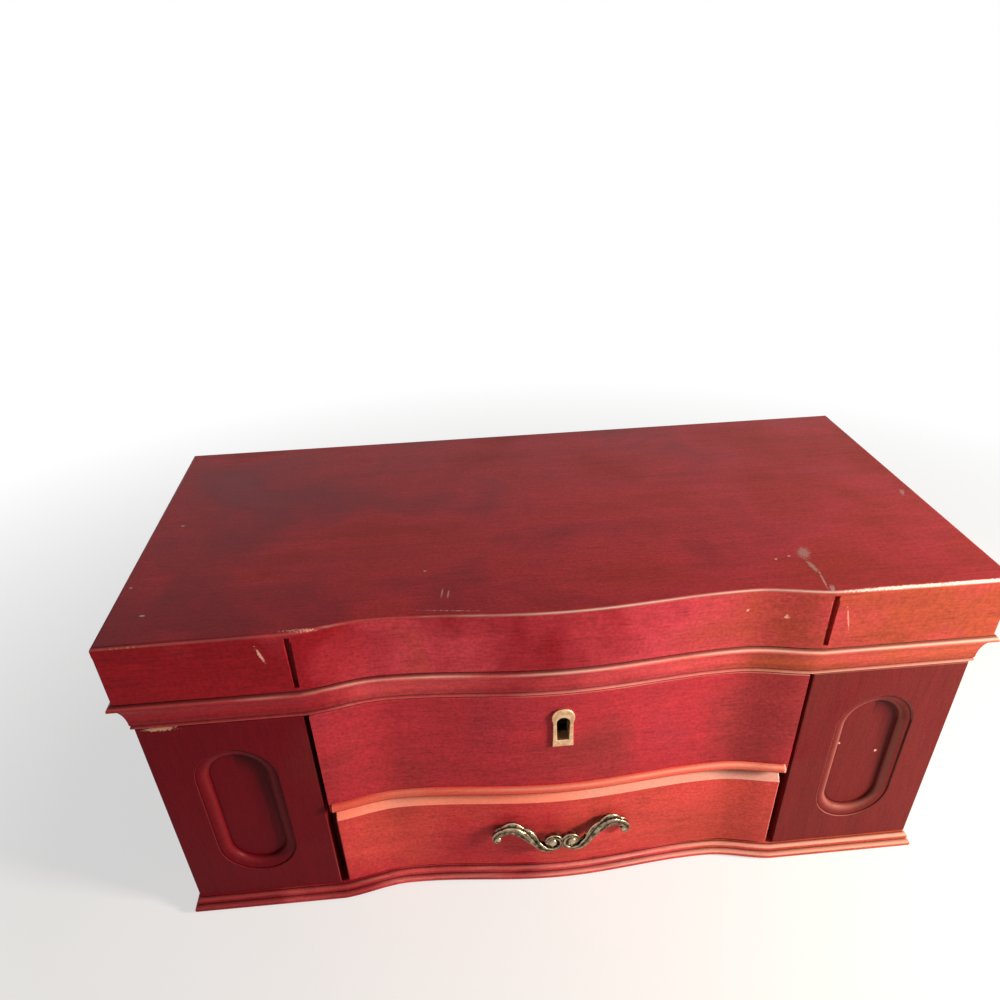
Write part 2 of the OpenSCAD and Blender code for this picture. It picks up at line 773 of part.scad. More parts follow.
module necklace_hooks(side) {
    mid = (partition_out + side_inner) / 2;
    color(brass) place() mirrored(side)
        for (i = [0 : hook_count - 1])
            translate([mid + (i - (hook_count - 1) / 2) * hook_pitch, door_back, door_top - hook_drop]) {
                rotate([-90, 0, 0]) cylinder(r = 2.2 * hook_wire_r, h = hook_wire_r);
                rotate([-90, 0, 0]) cylinder(r = hook_wire_r, h = hook_reach);
                translate([0, hook_reach, 0]) sphere(r = hook_wire_r);
                translate([0, hook_reach, 0]) cylinder(r = hook_wire_r, h = hook_rise);
                translate([0, hook_reach, hook_rise]) sphere(r = 1.5 * hook_wire_r);
            }
}
module necklace_hooks_left() { necklace_hooks(-1); }
module necklace_hooks_right() { necklace_hooks(1); }

// Hinges

// Half a hinge on the Z axis: the wall lies at -Y, the leaf runs to +X.
module hinge_half(length, barrel_r, leaf_w, knuckles) {
    wall = -barrel_r - 0.1;
    difference() {
        union() {
            translate([barrel_r + 0.5, wall, 0]) cube([leaf_w - barrel_r - 0.5, leaf_t, length]);
            for (k = knuckles) {
                translate([0, 0, k[0]]) cylinder(r = barrel_r, h = k[1] - k[0]);
                translate([0, wall, k[0]]) cube([barrel_r + 1, leaf_t, k[1] - k[0]]);
            }
        }
        translate([0, 0, -1]) cylinder(r = pin_r + pin_clear, h = length + 2);
    }
}
function outer_knuckles(length) = [[0, length * 0.3], [length * 0.7, length]];
function middle_knuckle(length) = [[length * 0.3 + 0.2, length * 0.7 - 0.2]];

lid_axis_y = case_back + lid_barrel_r + 0.1;
lid_axis_z = rim_z + lid_gap / 2;
lid_leaf_w = 13;

module at_lid_hinges() {
    for (s = [-1, 1])
        translate([s * lid_hinge_x - lid_hinge_len / 2, lid_axis_y, lid_axis_z])
            rotate([0, 90, 0]) children();
}

module lid_hinge_case_leaves() {
    color(brass) place() at_lid_hinges()
        hinge_half(lid_hinge_len, lid_barrel_r, lid_leaf_w, outer_knuckles(lid_hinge_len));
}

module lid_hinge_lid_leaves() {
    color(brass) place() at_lid_hinges() mirror([1, 0, 0])
        hinge_half(lid_hinge_len, lid_barrel_r, lid_leaf_w, middle_knuckle(lid_hinge_len));
}

module lid_hinge_pins() {
    color(steel) place() at_lid_hinges() cylinder(r = pin_r, h = lid_hinge_len);
}

door_axis_x = case_w / 2 + door_barrel_r + 0.1;
door_axis_y = inner_front - door_seat / 2;
door_leaf_w = 11;

module at_door_hinges(side) {
    mirrored(side) for (z = [door_z + 12, door_top - 12 - door_hinge_len])
        translate([door_axis_x, door_axis_y, z]) rotate([0, 0, -90]) children();
}

module door_hinge_case_leaves(side) {
    color(brass) place() at_door_hinges(side) mirror([1, 0, 0])
        hinge_half(door_hinge_len, door_barrel_r, door_leaf_w, outer_knuckles(door_hinge_len));
}
module door_hinge_door_leaves(side) {
    color(brass) place() at_door_hinges(side)
        hinge_half(door_hinge_len, door_barrel_r, door_leaf_w, middle_knuckle(door_hinge_len));
}
module door_hinge_pins(side) {
    color(steel) place() at_door_hinges(side) cylinder(r = pin_r, h = door_hinge_len);
}
module door_left_hinge_case_leaves() { door_hinge_case_leaves(-1); }
module door_left_hinge_door_leaves() { door_hinge_door_leaves(-1); }
module door_left_hinge_pins() { door_hinge_pins(-1); }
module door_right_hinge_case_leaves() { door_hinge_case_leaves(1); }
module door_right_hinge_door_leaves() { door_hinge_door_leaves(1); }
module door_right_hinge_pins() { door_hinge_pins(1); }

base_board();
side_board_left();
side_board_right();
back_board();
partition_left();
partition_right();
well_floor();
shelf_left();
shelf_right();
front_panel();
front_rail();
panel_bead();
cornice_front();
cornice_left();
cornice_right();
felt_pads();
well_lining();
ring_rolls();
tray_lining_right();
necklace_lining_left();
necklace_lining_right();
lock_case();
lock_bolt();
keyhole_plate();
strike_plate();
strike_eyes();
drawer_front();
drawer_side_left();
drawer_side_right();
drawer_back();
drawer_bottom();
drawer_lining();
drawer_pull();
pull_screws();
lid_top();
lid_front_rail();
lid_side_rail_left();
lid_side_rail_right();
lid_back_rail();
mirror_board();
mirror_glass();
mirror_frame();
lid_hinge_case_leaves();
lid_hinge_lid_leaves();
lid_hinge_pins();
door_left();
door_right();
door_left_hinge_case_leaves();
door_left_hinge_door_leaves();
door_left_hinge_pins();
door_right_hinge_case_leaves();
door_right_hinge_door_leaves();
door_right_hinge_pins();
necklace_hooks_left();
necklace_hooks_right();
catch_magnets();
catch_plate_left();
catch_plate_right();
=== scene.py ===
"""Looks of a serpentine-front jewellery chest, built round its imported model.

Lengths are millimetres in the chest's own frame: x to the right, y to the back
with 0 at the lid's straight front, z up from the table. publish() turns them
into metres in the row frame.
"""

import logging
from collections.abc import Callable, Iterable, Sequence
from dataclasses import dataclass
from enum import Enum
from math import cos, exp, pi, radians, sin

import bmesh
import bpy
from mathutils import Matrix, Vector

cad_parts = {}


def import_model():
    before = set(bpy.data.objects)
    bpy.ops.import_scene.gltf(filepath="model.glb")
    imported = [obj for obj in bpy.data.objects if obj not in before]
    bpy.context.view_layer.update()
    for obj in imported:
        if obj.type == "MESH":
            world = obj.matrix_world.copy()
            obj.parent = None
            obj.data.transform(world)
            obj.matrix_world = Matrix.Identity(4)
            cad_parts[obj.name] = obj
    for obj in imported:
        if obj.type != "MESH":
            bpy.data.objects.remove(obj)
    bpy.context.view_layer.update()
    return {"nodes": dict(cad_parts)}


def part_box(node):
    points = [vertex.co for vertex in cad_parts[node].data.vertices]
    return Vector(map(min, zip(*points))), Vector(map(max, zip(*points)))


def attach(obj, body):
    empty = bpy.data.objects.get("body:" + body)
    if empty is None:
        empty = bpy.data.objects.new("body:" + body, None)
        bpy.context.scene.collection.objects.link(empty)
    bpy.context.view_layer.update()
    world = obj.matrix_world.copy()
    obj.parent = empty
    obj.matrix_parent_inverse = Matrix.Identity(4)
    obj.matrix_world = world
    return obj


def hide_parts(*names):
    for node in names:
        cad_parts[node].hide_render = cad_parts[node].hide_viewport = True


LOG = logging.getLogger("chest")
MM = 0.001
# Vertex layers: wear, with a painted highlight on the wood's rounded edges; dirt, with painted
# shade in the wood's corners, slots, gaps and undersides.
WEAR_AND_HIGHLIGHT = "wear_and_highlight"
DIRT_AND_SHADE = "dirt_and_shade"
TINT = {"data_type": "RGBA"}
SHADE = {"data_type": "RGBA", "blend_type": "MULTIPLY"}
# Points closer than this are one.
WELD = 1e-4
# How far the drawer's face stands before the carcase.
DRAWER_INSET = 0.5
# Slope of an edge's rounding at which its wear and painted highlight are full.
FULL_SLOPE = 0.29

Bm = bmesh.types.BMesh
Obj = bpy.types.Object
Tree = bpy.types.NodeTree
Socket = bpy.types.NodeSocket
Ring = list[Vector]
Row = tuple[float, float, float, float]
Point = Sequence[float]


class Side(Enum):
    """The two ends of the chest."""

    LEFT = -1
    RIGHT = 1


class Grain(Enum):
    """The way the wood's fibres run, as the stretch of a pattern on each axis."""

    ALONG_X = (0.06, 1.0, 1.0)
    ALONG_Y = (1.0, 0.06, 1.0)
    ALONG_Z = (1.0, 1.0, 0.06)
    NONE = (1.0, 1.0, 1.0)


class Frame:
    """Where the chest's own frame lies in the row frame."""

    shift = Vector()

    @classmethod
    def settle(cls) -> None:
        """Reads the lid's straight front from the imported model."""
        cls.shift = Vector((0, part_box("lid_front_rail")[0].y, 0))

    @classmethod
    def box(cls, node: str) -> tuple[Vector, Vector]:
        """A node's lowest and highest corner in the chest's frame, in millimetres."""
        low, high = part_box(node)
        return (low - cls.shift) / MM, (high - cls.shift) / MM

    @classmethod
    def metres(cls, point: Point) -> Vector:
        """A point of the chest's frame in the row frame, in metres."""
        return Vector(point) * MM + cls.shift


def linear(code: str) -> tuple[float, float, float, float]:
    """Turns an sRGB colour into the linear one that shaders take.

    Args:
        code: Six hex digits.

    Returns:
        Red, green, blue and 1.
    """
    parts = [int(code[i : i + 2], 16) / 255 for i in (0, 2, 4)]
    red, green, blue = (
        p / 12.92 if p <= 0.04045 else ((p + 0.055) / 1.055) ** 2.4 for p in parts
    )
    return red, green, blue, 1.0


def wire(tree: Tree, node: bpy.types.Node, inputs: dict[str | int, object]) -> None:
    """Gives a node its inputs.

    Args:
        tree: The material's node tree.
        node: The node.
        inputs: Input name or index to a constant, or to a socket to link.
    """
    for key, value in inputs.items():
        if isinstance(value, Socket):
            tree.links.new(value, node.inputs[key])
        else:
            node.inputs[key].default_value = value


def add_node(
    tree: Tree,
    kind: str,
    inputs: dict[str | int, object] | None = None,
    stops: Sequence[tuple[float, float | Point]] = (),
    out: str = "",
    **settings: object,
) -> Socket:
    """Adds a shader node with its settings, constant inputs and links.

    Args:
        tree: The material's node tree.
        kind: The node's type name without its ShaderNode prefix.
        inputs: Input name or index to a constant, or to a socket to link.
        stops: Place and colour (or grey) of each stop of a colour ramp.
        out: Name of the wanted output; the first live one if empty.
        settings: Attributes to set on the node.

    Returns:
        The wanted output.
    """
    node = tree.nodes.new("ShaderNode" + kind)
    for name, value in settings.items():
        setattr(node, name, value)
    wire(tree, node, inputs or {})
    if stops:
        bands = node.color_ramp.elements
        while len(bands) < len(stops):
            bands.new(0.5)
        for band, (place, tone) in zip(bands, stops):
            band.position = place
            band.color = (tone, tone, tone, 1.0) if isinstance(tone, float) else tone
    live = [socket for socket in node.outputs if socket.enabled]
    return node.outputs[out] if out else live[0]


def noise_settings(
    coords: Socket, size_mm: float, detail: float, twist: float = 0.0
) -> dict[str, object]:
    """Inputs of a noise whose coarsest features are size_mm across.

    Args:
        coords: Coordinates in metres.
        size_mm: Size of the features across the grain.
        detail: How many finer octaves it has.
        twist: How far it is distorted.

    Returns:
        The inputs by name.
    """
    scale = 1.0 / (size_mm * MM)
    return {"Vector": coords, "Scale": scale, "Detail": detail, "Distortion": twist}


@dataclass(frozen=True)
class Finish:
    """A material: a name and a pattern that feeds one principled shader."""

    name: str

    def looks(self, tree: Tree) -> dict[str, object]:
        """Adds the pattern. Each finish has its own.

        Args:
            tree: The material's node tree.

        Returns:
            The principled shader's inputs by name.
        """
        return {}

    def coords(self, tree: Tree, grain: Grain = Grain.NONE) -> Socket:
        """Object coordinates, drawn out along the grain."""
        plain = add_node(tree, "TexCoord", out="Object")
        return add_node(tree, "Mapping", {"Vector": plain, "Scale": grain.value})

    def make(self) -> bpy.types.Material:
        """Builds the material once.

        Returns:
            The material.
        """
        found = bpy.data.materials.get(self.name)
        if found:
            return found
        material = bpy.data.materials.new(self.name)
        material.use_nodes = True
        tree = material.node_tree
        wire(tree, tree.nodes["Principled BSDF"], self.looks(tree))
        return material


@dataclass(frozen=True)
class Mark:
    """A scratch, chip, speck or painted highlight line: an ellipsoid in the chest's frame with a
    ragged rim.
    """

    centre: tuple[float, float, float]
    length: float
    width: float
    run: tuple[float, float, float] = (1.0, 0.0, 0.0)
    colour: str = "dcb4a4"
    cover: float = 0.85

    def over(self, tree: Tree, coords: Socket, grit: Socket, under: Socket) -> Socket:
        """Lays the mark over a colour.

        Args:
            tree: The material's node tree.
            coords: Object coordinates, in metres.
            grit: A fine noise that makes the rim ragged.
            under: The colour below.

        Returns:
            The colour with the mark on it.
        """
        turn = Vector((1, 0, 0)).rotation_difference(Vector(self.run).normalized())
        wide = max(self.width, 0.5) * MM / 2
        place = {
            "Vector": coords,
            "Location": Frame.metres(self.centre),
            "Rotation": turn.to_euler(),
            "Scale": (self.length * MM / 2, wide, wide),
        }
        inside = add_node(tree, "Mapping", place, vector_type="TEXTURE")
        reach = add_node(tree, "VectorMath", {0: inside}, operation="LENGTH")
        rim = add_node(tree, "Math", {0: grit, 1: 2.2, 2: reach}, operation="MULTIPLY_ADD")
        share = add_node(tree, "MapRange", {0: rim, 1: 1.7, 2: 2.2, 3: self.cover, 4: 0.0})
        return add_node(tree, "Mix", {0: share, 6: under, 7: linear(self.colour)}, **TINT)


@dataclass(frozen=True)
class StainedWood(Finish):
    """Hardwood under a red stain and a satin lacquer, rubbed pale on its edges under a painted
    highlight.

    The stain took unevenly: cool where thick, warm where thin; the warmer tone towards the
    right-hand end is painted light. The real fibres and pores are a third of the sizes here, too
    fine to show.
    """

    body: str = "7c2024"
    cool: str = "5c1428"
    warm: str = "8e2c20"
    worn_and_highlight: str = "e0a08e"
    grain: Grain = Grain.ALONG_X
    gloss: float = 0.36
    painted_light_ramp: float = 0.0
    figured: float = 1.0
    marks: tuple[Mark, ...] = ()
    cloud_mm: float = 60.0
    figure_mm: float = 9.0
    fibre_mm: float = 0.9
    pore_mm: float = 0.6
    chip_mm: float = 6.0

    def looks(self, tree: Tree) -> dict[str, object]:
        """Clouds of stain with painted light towards the right, figure, fibres, pores, dirt with
        painted shade, rubbed edges with painted highlight and marks.

        Args:
            tree: The material's node tree.

        Returns:
            The principled shader's inputs by name.
        """
        along = self.coords(tree, self.grain)
        plain = self.coords(tree)
        cloud = add_node(tree, "TexNoise", noise_settings(plain, self.cloud_mm, 3.0, 0.4))
        across = add_node(tree, "SeparateXYZ", {0: plain})
        # Painted light: the stain's tone turns warmer towards the right-hand end.
        painted_light_inputs = {0: across, 1: self.painted_light_ramp, 2: cloud}
        stain_and_painted_light = add_node(tree, "Math", painted_light_inputs, operation="MULTIPLY_ADD")
        tints = [(0.30, linear(self.cool)), (0.5, linear(self.body)), (0.70, linear(self.warm))]
        colour = add_node(tree, "ValToRGB", {0: stain_and_painted_light}, tints)
        figure = add_node(tree, "TexNoise", noise_settings(along, self.figure_mm, 4.0, 0.7))
        fibre = add_node(tree, "TexNoise", noise_settings(along, self.fibre_mm, 2.0))
        pore = add_node(tree, "TexNoise", noise_settings(along, self.pore_mm, 0.0))
        mottle = add_node(tree, "TexNoise", noise_settings(plain, 1.5, 2.0))
        for value, stops in (
            (figure, [(0.28, 0.88), (0.72, 1.10)]),
            (fibre, [(0.32, 0.91), (0.66, 1.07)]),
            (mottle, [(0.32, 0.84), (0.68, 1.13)]),
            (pore, [(0.27, 0.80), (0.36, 1.0)]),
        ):
            tone = add_node(tree, "ValToRGB", {0: value}, stops)
            colour = add_node(tree, "Mix", {0: self.figured, 6: colour, 7: tone}, **SHADE)
        # Painted shade, partly dirt and thick stain, in the corners of the mouldings, in the slots,
        # in the gaps and under the bead.
        dirt_and_shade_share = add_node(tree, "Attribute", attribute_name=DIRT_AND_SHADE)
        dirt_and_shade_share = add_node(tree, "Math", {0: dirt_and_shade_share, 1: 0.8}, operation="MULTIPLY")
        colour = add_node(tree, "Mix", {0: dirt_and_shade_share, 6: colour, 7: linear("1c0508")}, **TINT)
        # Edges rubbed through the stain in patches under a painted highlight; the patches grow
        # towards the right-hand end as painted light.
        chips = add_node(tree, "TexNoise", noise_settings(along, self.chip_mm, 5.0, 0.3))
        chips = add_node(tree, "Math", {0: across, 1: 1.6, 2: chips}, operation="MULTIPLY_ADD")
        rubbed_patch_and_light = add_node(tree, "ValToRGB", {0: chips}, [(0.36, 0.12), (0.64, 1.0)])
        wear_and_highlight_share = add_node(tree, "Attribute", attribute_name=WEAR_AND_HIGHLIGHT)
        wear_and_highlight_share = add_node(tree, "Math", {0: wear_and_highlight_share, 1: rubbed_patch_and_light}, operation="MULTIPLY", use_clamp=True)
        colour = add_node(tree, "Mix", {0: wear_and_highlight_share, 6: colour, 7: linear(self.worn_and_highlight)}, **TINT)
        grit = add_node(tree, "TexNoise", noise_settings(plain, 0.9, 2.0))
        for mark in self.marks:
            colour = mark.over(tree, plain, grit, colour)
        satin = {0: cloud, 1: 0.3, 2: 0.7, 3: self.gloss - 0.05, 4: self.gloss + 0.08}
        rough = add_node(tree, "MapRange", satin)
        relief = add_node(tree, "Math", {0: fibre, 1: 0.6, 2: pore}, operation="MULTIPLY_ADD")
        bump = add_node(tree, "Bump", {"Strength": 0.3, "Distance": 0.0001, "Height": relief})
        surface = {"Roughness": rough, "IOR": 1.5, "Specular IOR Level": 0.07}
        return {"Base Color": colour, "Normal": bump, **surface}


@dataclass(frozen=True)
class RawWood(Finish):
    """Plain sanded beech: pale, with short brown flecks along its grain."""

    grain: Grain = Grain.ALONG_Y
    fleck_mm: float = 0.9

    def looks(self, tree: Tree) -> dict[str, object]:
        """Straight figure with ray flecks.

        Args:
            tree: The material's node tree.

        Returns:
            The principled shader's inputs by name.
        """
        along = self.coords(tree, self.grain)
        figure = add_node(tree, "TexNoise", noise_settings(along, 10.0, 4.0, 0.4))
        tints = [(0.3, linear("a98257")), (0.5, linear("c39d6f")), (0.72, linear("d3b186"))]
        colour = add_node(tree, "ValToRGB", {0: figure}, tints)
        fleck = add_node(tree, "TexNoise", noise_settings(along, self.fleck_mm, 1.0))
        tone = add_node(tree, "ValToRGB", {0: fleck}, [(0.3, 0.75), (0.42, 1.0)])
        colour = add_node(tree, "Mix", {0: 0.7, 6: colour, 7: tone}, **SHADE)
        bump = add_node(tree, "Bump", {"Strength": 0.4, "Distance": 0.00015, "Height": fleck})
        return {"Base Color": colour, "Roughness": 0.62, "Normal": bump}


@dataclass(frozen=True)
class PileFabric(Finish):
    """Cotton velvet or wool felt: matt pile with a soft sheen at the edge."""

    dark: str = "2c0610"
    light: str = "5e1424"
    fibre_mm: float = 0.5
    crush_mm: float = 22.0

    def looks(self, tree: Tree) -> dict[str, object]:
        """Patches of crushed pile and single fibres.

        Args:
            tree: The material's node tree.

        Returns:
            The principled shader's inputs by name.
        """
        plain = self.coords(tree)
        crushed = add_node(tree, "TexNoise", noise_settings(plain, self.crush_mm, 4.0, 1.0))
        tints = [(0.35, linear(self.dark)), (0.68, linear(self.light))]
        colour = add_node(tree, "ValToRGB", {0: crushed}, tints)
        fibre = add_node(tree, "TexNoise", noise_settings(plain, self.fibre_mm, 2.0))
        tone = add_node(tree, "ValToRGB", {0: fibre}, [(0.3, 0.7), (0.7, 1.15)])
        colour = add_node(tree, "Mix", {0: 1.0, 6: colour, 7: tone}, **SHADE)
        bump = add_node(tree, "Bump", {"Strength": 0.6, "Distance": 0.0003, "Height": fibre})
        pile = {"Roughness": 0.92, "Sheen Weight": 0.35, "Sheen Roughness": 0.4}
        return {"Base Color": colour, "Normal": bump, **pile}


@dataclass(frozen=True)
class AgedMetal(Finish):
    """Metal with bright rubbed edges and dull, dark hollows."""

    bright: str = "d8b27c"
    dull: str = "8a6a3e"
    hollow: str = "2a2016"
    roughness: float = 0.34
    spot_mm: float = 2.5
    polish: float = 0.62

    def looks(self, tree: Tree) -> dict[str, object]:
        """Tarnish between the rubbed edges and the hollows.

        Args:
            tree: The material's node tree.

        Returns:
            The principled shader's inputs by name.
        """
        plain = self.coords(tree)
        spots = add_node(tree, "TexNoise", noise_settings(plain, self.spot_mm, 4.0, 0.4))
        tints = [(0.36, linear(self.dull)), (self.polish, linear(self.bright))]
        colour = add_node(tree, "ValToRGB", {0: spots}, tints)
        for layer, tint in ((WEAR_AND_HIGHLIGHT, self.bright), (DIRT_AND_SHADE, self.hollow)):
            share = add_node(tree, "Attribute", attribute_name=layer)
            colour = add_node(tree, "Mix", {0: share, 6: colour, 7: linear(tint)}, **TINT)
        dulled = {0: spots, 1: 0.3, 2: 0.7, 3: self.roughness + 0.16, 4: self.roughness}
        rough = add_node(tree, "MapRange", dulled)
        bump = add_node(tree, "Bump", {"Strength": 0.25, "Distance": 0.00008, "Height": spots})
        return {"Base Color": colour, "Metallic": 1.0, "Roughness": rough, "Normal": bump}


@dataclass(frozen=True)
class SilveredGlass(Finish):
    """Plate glass silvered at the back: a clean mirror with a faint cool tint."""

    def looks(self, tree: Tree) -> dict[str, object]:
        """A smooth metal with faint cloudy smears.

        Args:
            tree: The material's node tree.

        Returns:
            The principled shader's inputs by name.
        """
        smear = add_node(tree, "TexNoise", noise_settings(self.coords(tree), 40.0, 3.0, 1.0))
        tints = [(0.3, linear("dfe6e8")), (0.7, linear("eef3f4"))]
        colour = add_node(tree, "ValToRGB", {0: smear}, tints)
        hazed = add_node(tree, "MapRange", {0: smear, 1: 0.4, 2: 0.8, 3: 0.02, 4: 0.06})
        return {"Base Color": colour, "Metallic": 1.0, "Roughness": hazed}


# Damage seen on the real chest: dents, scratches and a crack by the right-hand slot; also painted
# highlights along the lid top's front edge.
GREY = "b39a92"
TOP_MARKS = (
    Mark((-185.1, 106.6, 181.8), 2.2, 1.6),
    Mark((-195.3, 47.0, 181.8), 1.8, 1.4),
    Mark((-183.8, 22.3, 181.8), 2.4, 1.6),
    Mark((-60.0, 43.1, 181.8), 1.4, 1.2),
    Mark((-52.7, 23.0, 181.8), 7.0, 0.9, (0.15, 1.0, 0.0), cover=0.5),
    Mark((-50.0, 21.7, 181.8), 7.0, 0.9, (0.15, 1.0, 0.0), cover=0.5),
    Mark((102.8, 30.8, 181.8), 1.4, 1.2),
    Mark((109.7, 32.6, 181.8), 1.4, 1.2),
    Mark((117.4, 34.5, 181.8), 11.0, 6.0, (0.3, 1.0, 0.0), GREY, 0.5),
    Mark((116.6, 22.0, 181.8), 12.0, 2.4, (-0.1, 1.0, 0.0), GREY, 0.6),
    Mark((116.6, 10.0, 181.8), 14.0, 1.0, (0.15, 1.0, 0.0), GREY, 0.75),
    Mark((117.6, 3.0, 181.8), 6.0, 2.2, (0.3, 1.0, 0.0), GREY, 0.7),
    Mark((192.6, 88.6, 181.8), 7.0, 2.4, (0.4, 1.0, 0.0), GREY, 0.55),
    # Pale lines along the top's front edge: rubbed edge under a painted highlight, whitest at the
    # right-hand end.
    Mark((-115.0, 2.4, 181.2), 17.0, 1.8, (1.0, 0.02, 0.0), "e6a896", 0.75),
    Mark((-50.0, 8.3, 181.4), 34.0, 1.0, (1.0, -0.16, 0.0), "e6a896", 0.7),
    Mark((-187.0, 0.6, 180.6), 26.0, 1.0, (1.0, 0.0, 0.0), "d88a52", 0.7),
    Mark((150.0, 0.5, 181.3), 60.0, 1.6, (1.0, 0.0, 0.0), "e8dcd4", 0.8),
    Mark((182.0, 0.5, 181.3), 40.0, 1.6, (1.0, 0.0, 0.0), "e8dcd4", 0.8),
)
RAIL_MARKS = (
    Mark((-131.6, 0.0, 171.8), 8.5, 1.4, (0.32, 0.0, -1.0), "e8b0a0"),
    Mark((100.3, 4.0, 167.5), 3.0, 2.2, colour="e8a498"),
    Mark((82.7, 6.4, 171.3), 1.6, 1.4, colour="e8a498"),
    Mark((126.8, 0.0, 167.0), 13.0, 0.8, (0.26, 0.0, -1.0), "e8a888", 0.55),
)
DOOR_MARKS = (
    Mark((-185.6, 5.0, 131.6), 15.0, 3.0, colour="d8ac90"),
    Mark((145.9, 9.5, 80.3), 1.5, 1.4),
    Mark((167.1, 9.5, 72.9), 1.9, 1.6),
)

# painted_light_ramp gives each stain a warmer tone towards the right-hand end: painted light.
LID_TOP_WOOD = StainedWood(
    "mahogany_stained_lid_top", "b03036", "90202a", "a03029", "e2c8bc", gloss=0.38, painted_light_ramp=0.6,
    marks=TOP_MARKS,
)
LID_WOOD = StainedWood(
    "mahogany_stained_lid_rails", "ba3e4a", "8c1822", "a0442f", gloss=0.4, painted_light_ramp=1.1,
    marks=RAIL_MARKS,
)
CASE_WOOD = StainedWood(
    "mahogany_stained_mouldings", "c8484e", "98222c", "b24e38", "ecc4b4", painted_light_ramp=1.1
)
PANEL_WOOD = StainedWood(
    "cherry_stained_front_panel", "ac303a", "a2303c", "923034", gloss=0.42, painted_light_ramp=0.9
)
DRAWER_WOOD = StainedWood(
    "cherry_stained_drawer_front", "c84542", "b52a36", "b4433a", "f4b09c", gloss=0.42, painted_light_ramp=0.9
)
BEAD_WOOD = StainedWood(
    "cherry_stained_bead", "d05444", "d04c42", "cc6250", "f6c8b4", painted_light_ramp=1.0, figured=0.5
)
# The drawer's bevel: rubbed pale wood under a painted highlight, growing towards the right-hand
# end.
BEVEL_RUBBED_AND_HIGHLIT = StainedWood(
    "cherry_rubbed_drawer_bevel_painted_highlight", "f0927c", "f07e6a", "d2968a", "f6c8b4", painted_light_ramp=1.9, figured=0.3
)
DOOR_WOOD = StainedWood(
    "mahogany_stained_corner_doors", "6c161c", "6a0a18", "682020", grain=Grain.ALONG_Z,
    gloss=0.42, painted_light_ramp=1.1, figured=0.7, marks=DOOR_MARKS,
)
SIDE_WOOD = StainedWood("mahogany_stained_side_boards", "762226", grain=Grain.ALONG_Y)
BACK_WOOD = StainedWood("mahogany_stained_back_board", "5c1a1c", "44121c", "682418")
BEECH = RawWood("beech_sanded")
BEECH_ACROSS = RawWood("beech_sanded_crosswise", Grain.ALONG_X)
VELVET = PileFabric("cotton_velvet_lining")
FELT = PileFabric("wool_felt_green", "12301f", "1f4a30", 0.7)
BRASS = AgedMetal("brass_lacquered_dulled", "ecc6a0", "c59a72", "4a3220")
BRONZE = AgedMetal("brass_cast_antiqued", "e4caa6", "352b22", "080605", 0.22, polish=1.25)
# Blackened iron for the lock case, near black so that the keyhole shows dark: partly painted shade.
LOCK_IRON_PAINTED_SHADE = AgedMetal("iron_lock_blackened_painted_shade", "3a3632", "1e1b19", "0c0b0a", 0.5)
ZINC = AgedMetal("steel_zinc_plated", "c9c9c6", "9a9a98", "4a4a4a")
MIRROR = SilveredGlass("glass_silvered_mirror")


def ease(t: float) -> float:
    """Half a cosine wave, from 0 at t = 0 to 1 at t = 1."""
    return (1 - cos(pi * t)) / 2


@dataclass(frozen=True)
class BayCurve:
    """Plan of the serpentine bay: setback of the front at each distance from the middle."""

    half: float = 119.4
    trough: float = 83.0
    recess: float = 6.4
    bow: float = 0.65
    lead: float = 6.0
    steps: int = 120

    def setback(self, x: float) -> float:
        """How far the front lies behind its straight ends.

        Args:
            x: Distance from the middle.

        Returns:
            The setback.
        """
        a = abs(x)
        if a >= self.half:
            return 0.0
        if a < self.trough:
            return self.recess - (self.recess - self.bow) * ease((self.trough - a) / self.trough)
        span = self.half + self.lead - self.trough
        start = ease(self.lead / span)
        return self.recess * (ease((self.half + self.lead - a) / span) - start) / (1 - start)

    def stations(self, half: float) -> list[float]:
        """Places along x from -half to half, close together on the curve."""
        grid = [-self.half + 2 * self.half * i / self.steps for i in range(self.steps + 1)]
        return [-half, *(x for x in grid if abs(x) < half - 0.5), half]


BAY = BayCurve()


def with_layers(bm: Bm) -> Bm:
    """Gives a mesh the two layers that hold wear with painted highlight, and dirt with painted
    shade, on its points.

    Args:
        bm: The mesh.

    Returns:
        The same mesh.
    """
    for layer in (WEAR_AND_HIGHLIGHT, DIRT_AND_SHADE):
        if layer not in bm.verts.layers.float:
            bm.verts.layers.float.new(layer)
    return bm


def loft(
    rings: Sequence[Ring], shades: Sequence[Sequence[float]] = (), by_ring: bool = False
) -> Bm:
    """Skins a row of closed rings that have the same number of points.

    Args:
        rings: The sections, in order.
        shades: Wear with painted highlight, and dirt with painted shade, of each point of a ring, 0
            to 1.
        by_ring: Whether they are given for each ring instead.

    Returns:
        A closed mesh with both ends filled.
    """
    bm = with_layers(bmesh.new())
    rows, columns = len(rings), len(rings[0])
    bmesh.ops.create_grid(bm, x_segments=columns, y_segments=rows - 1, size=1.0)
    grid = sorted(bm.verts, key=lambda v: (round(v.co.y, 5), round(v.co.x, 5)))
    wear_and_highlight_layer, dirt_and_shade_layer = (bm.verts.layers.float[name] for name in (WEAR_AND_HIGHLIGHT, DIRT_AND_SHADE))
    for i, ring in enumerate(rings):
        for j in range(columns + 1):
            vert = grid[i * (columns + 1) + j]
            vert.co = ring[j % columns]
            if shades:
                vert[wear_and_highlight_layer], vert[dirt_and_shade_layer] = shades[i if by_ring else j % columns]
    bmesh.ops.remove_doubles(bm, verts=bm.verts[:], dist=WELD)
    bmesh.ops.holes_fill(bm, edges=[e for e in bm.edges if e.is_boundary], sides=0)
    bmesh.ops.recalc_face_normals(bm, faces=bm.faces[:])
    return bm


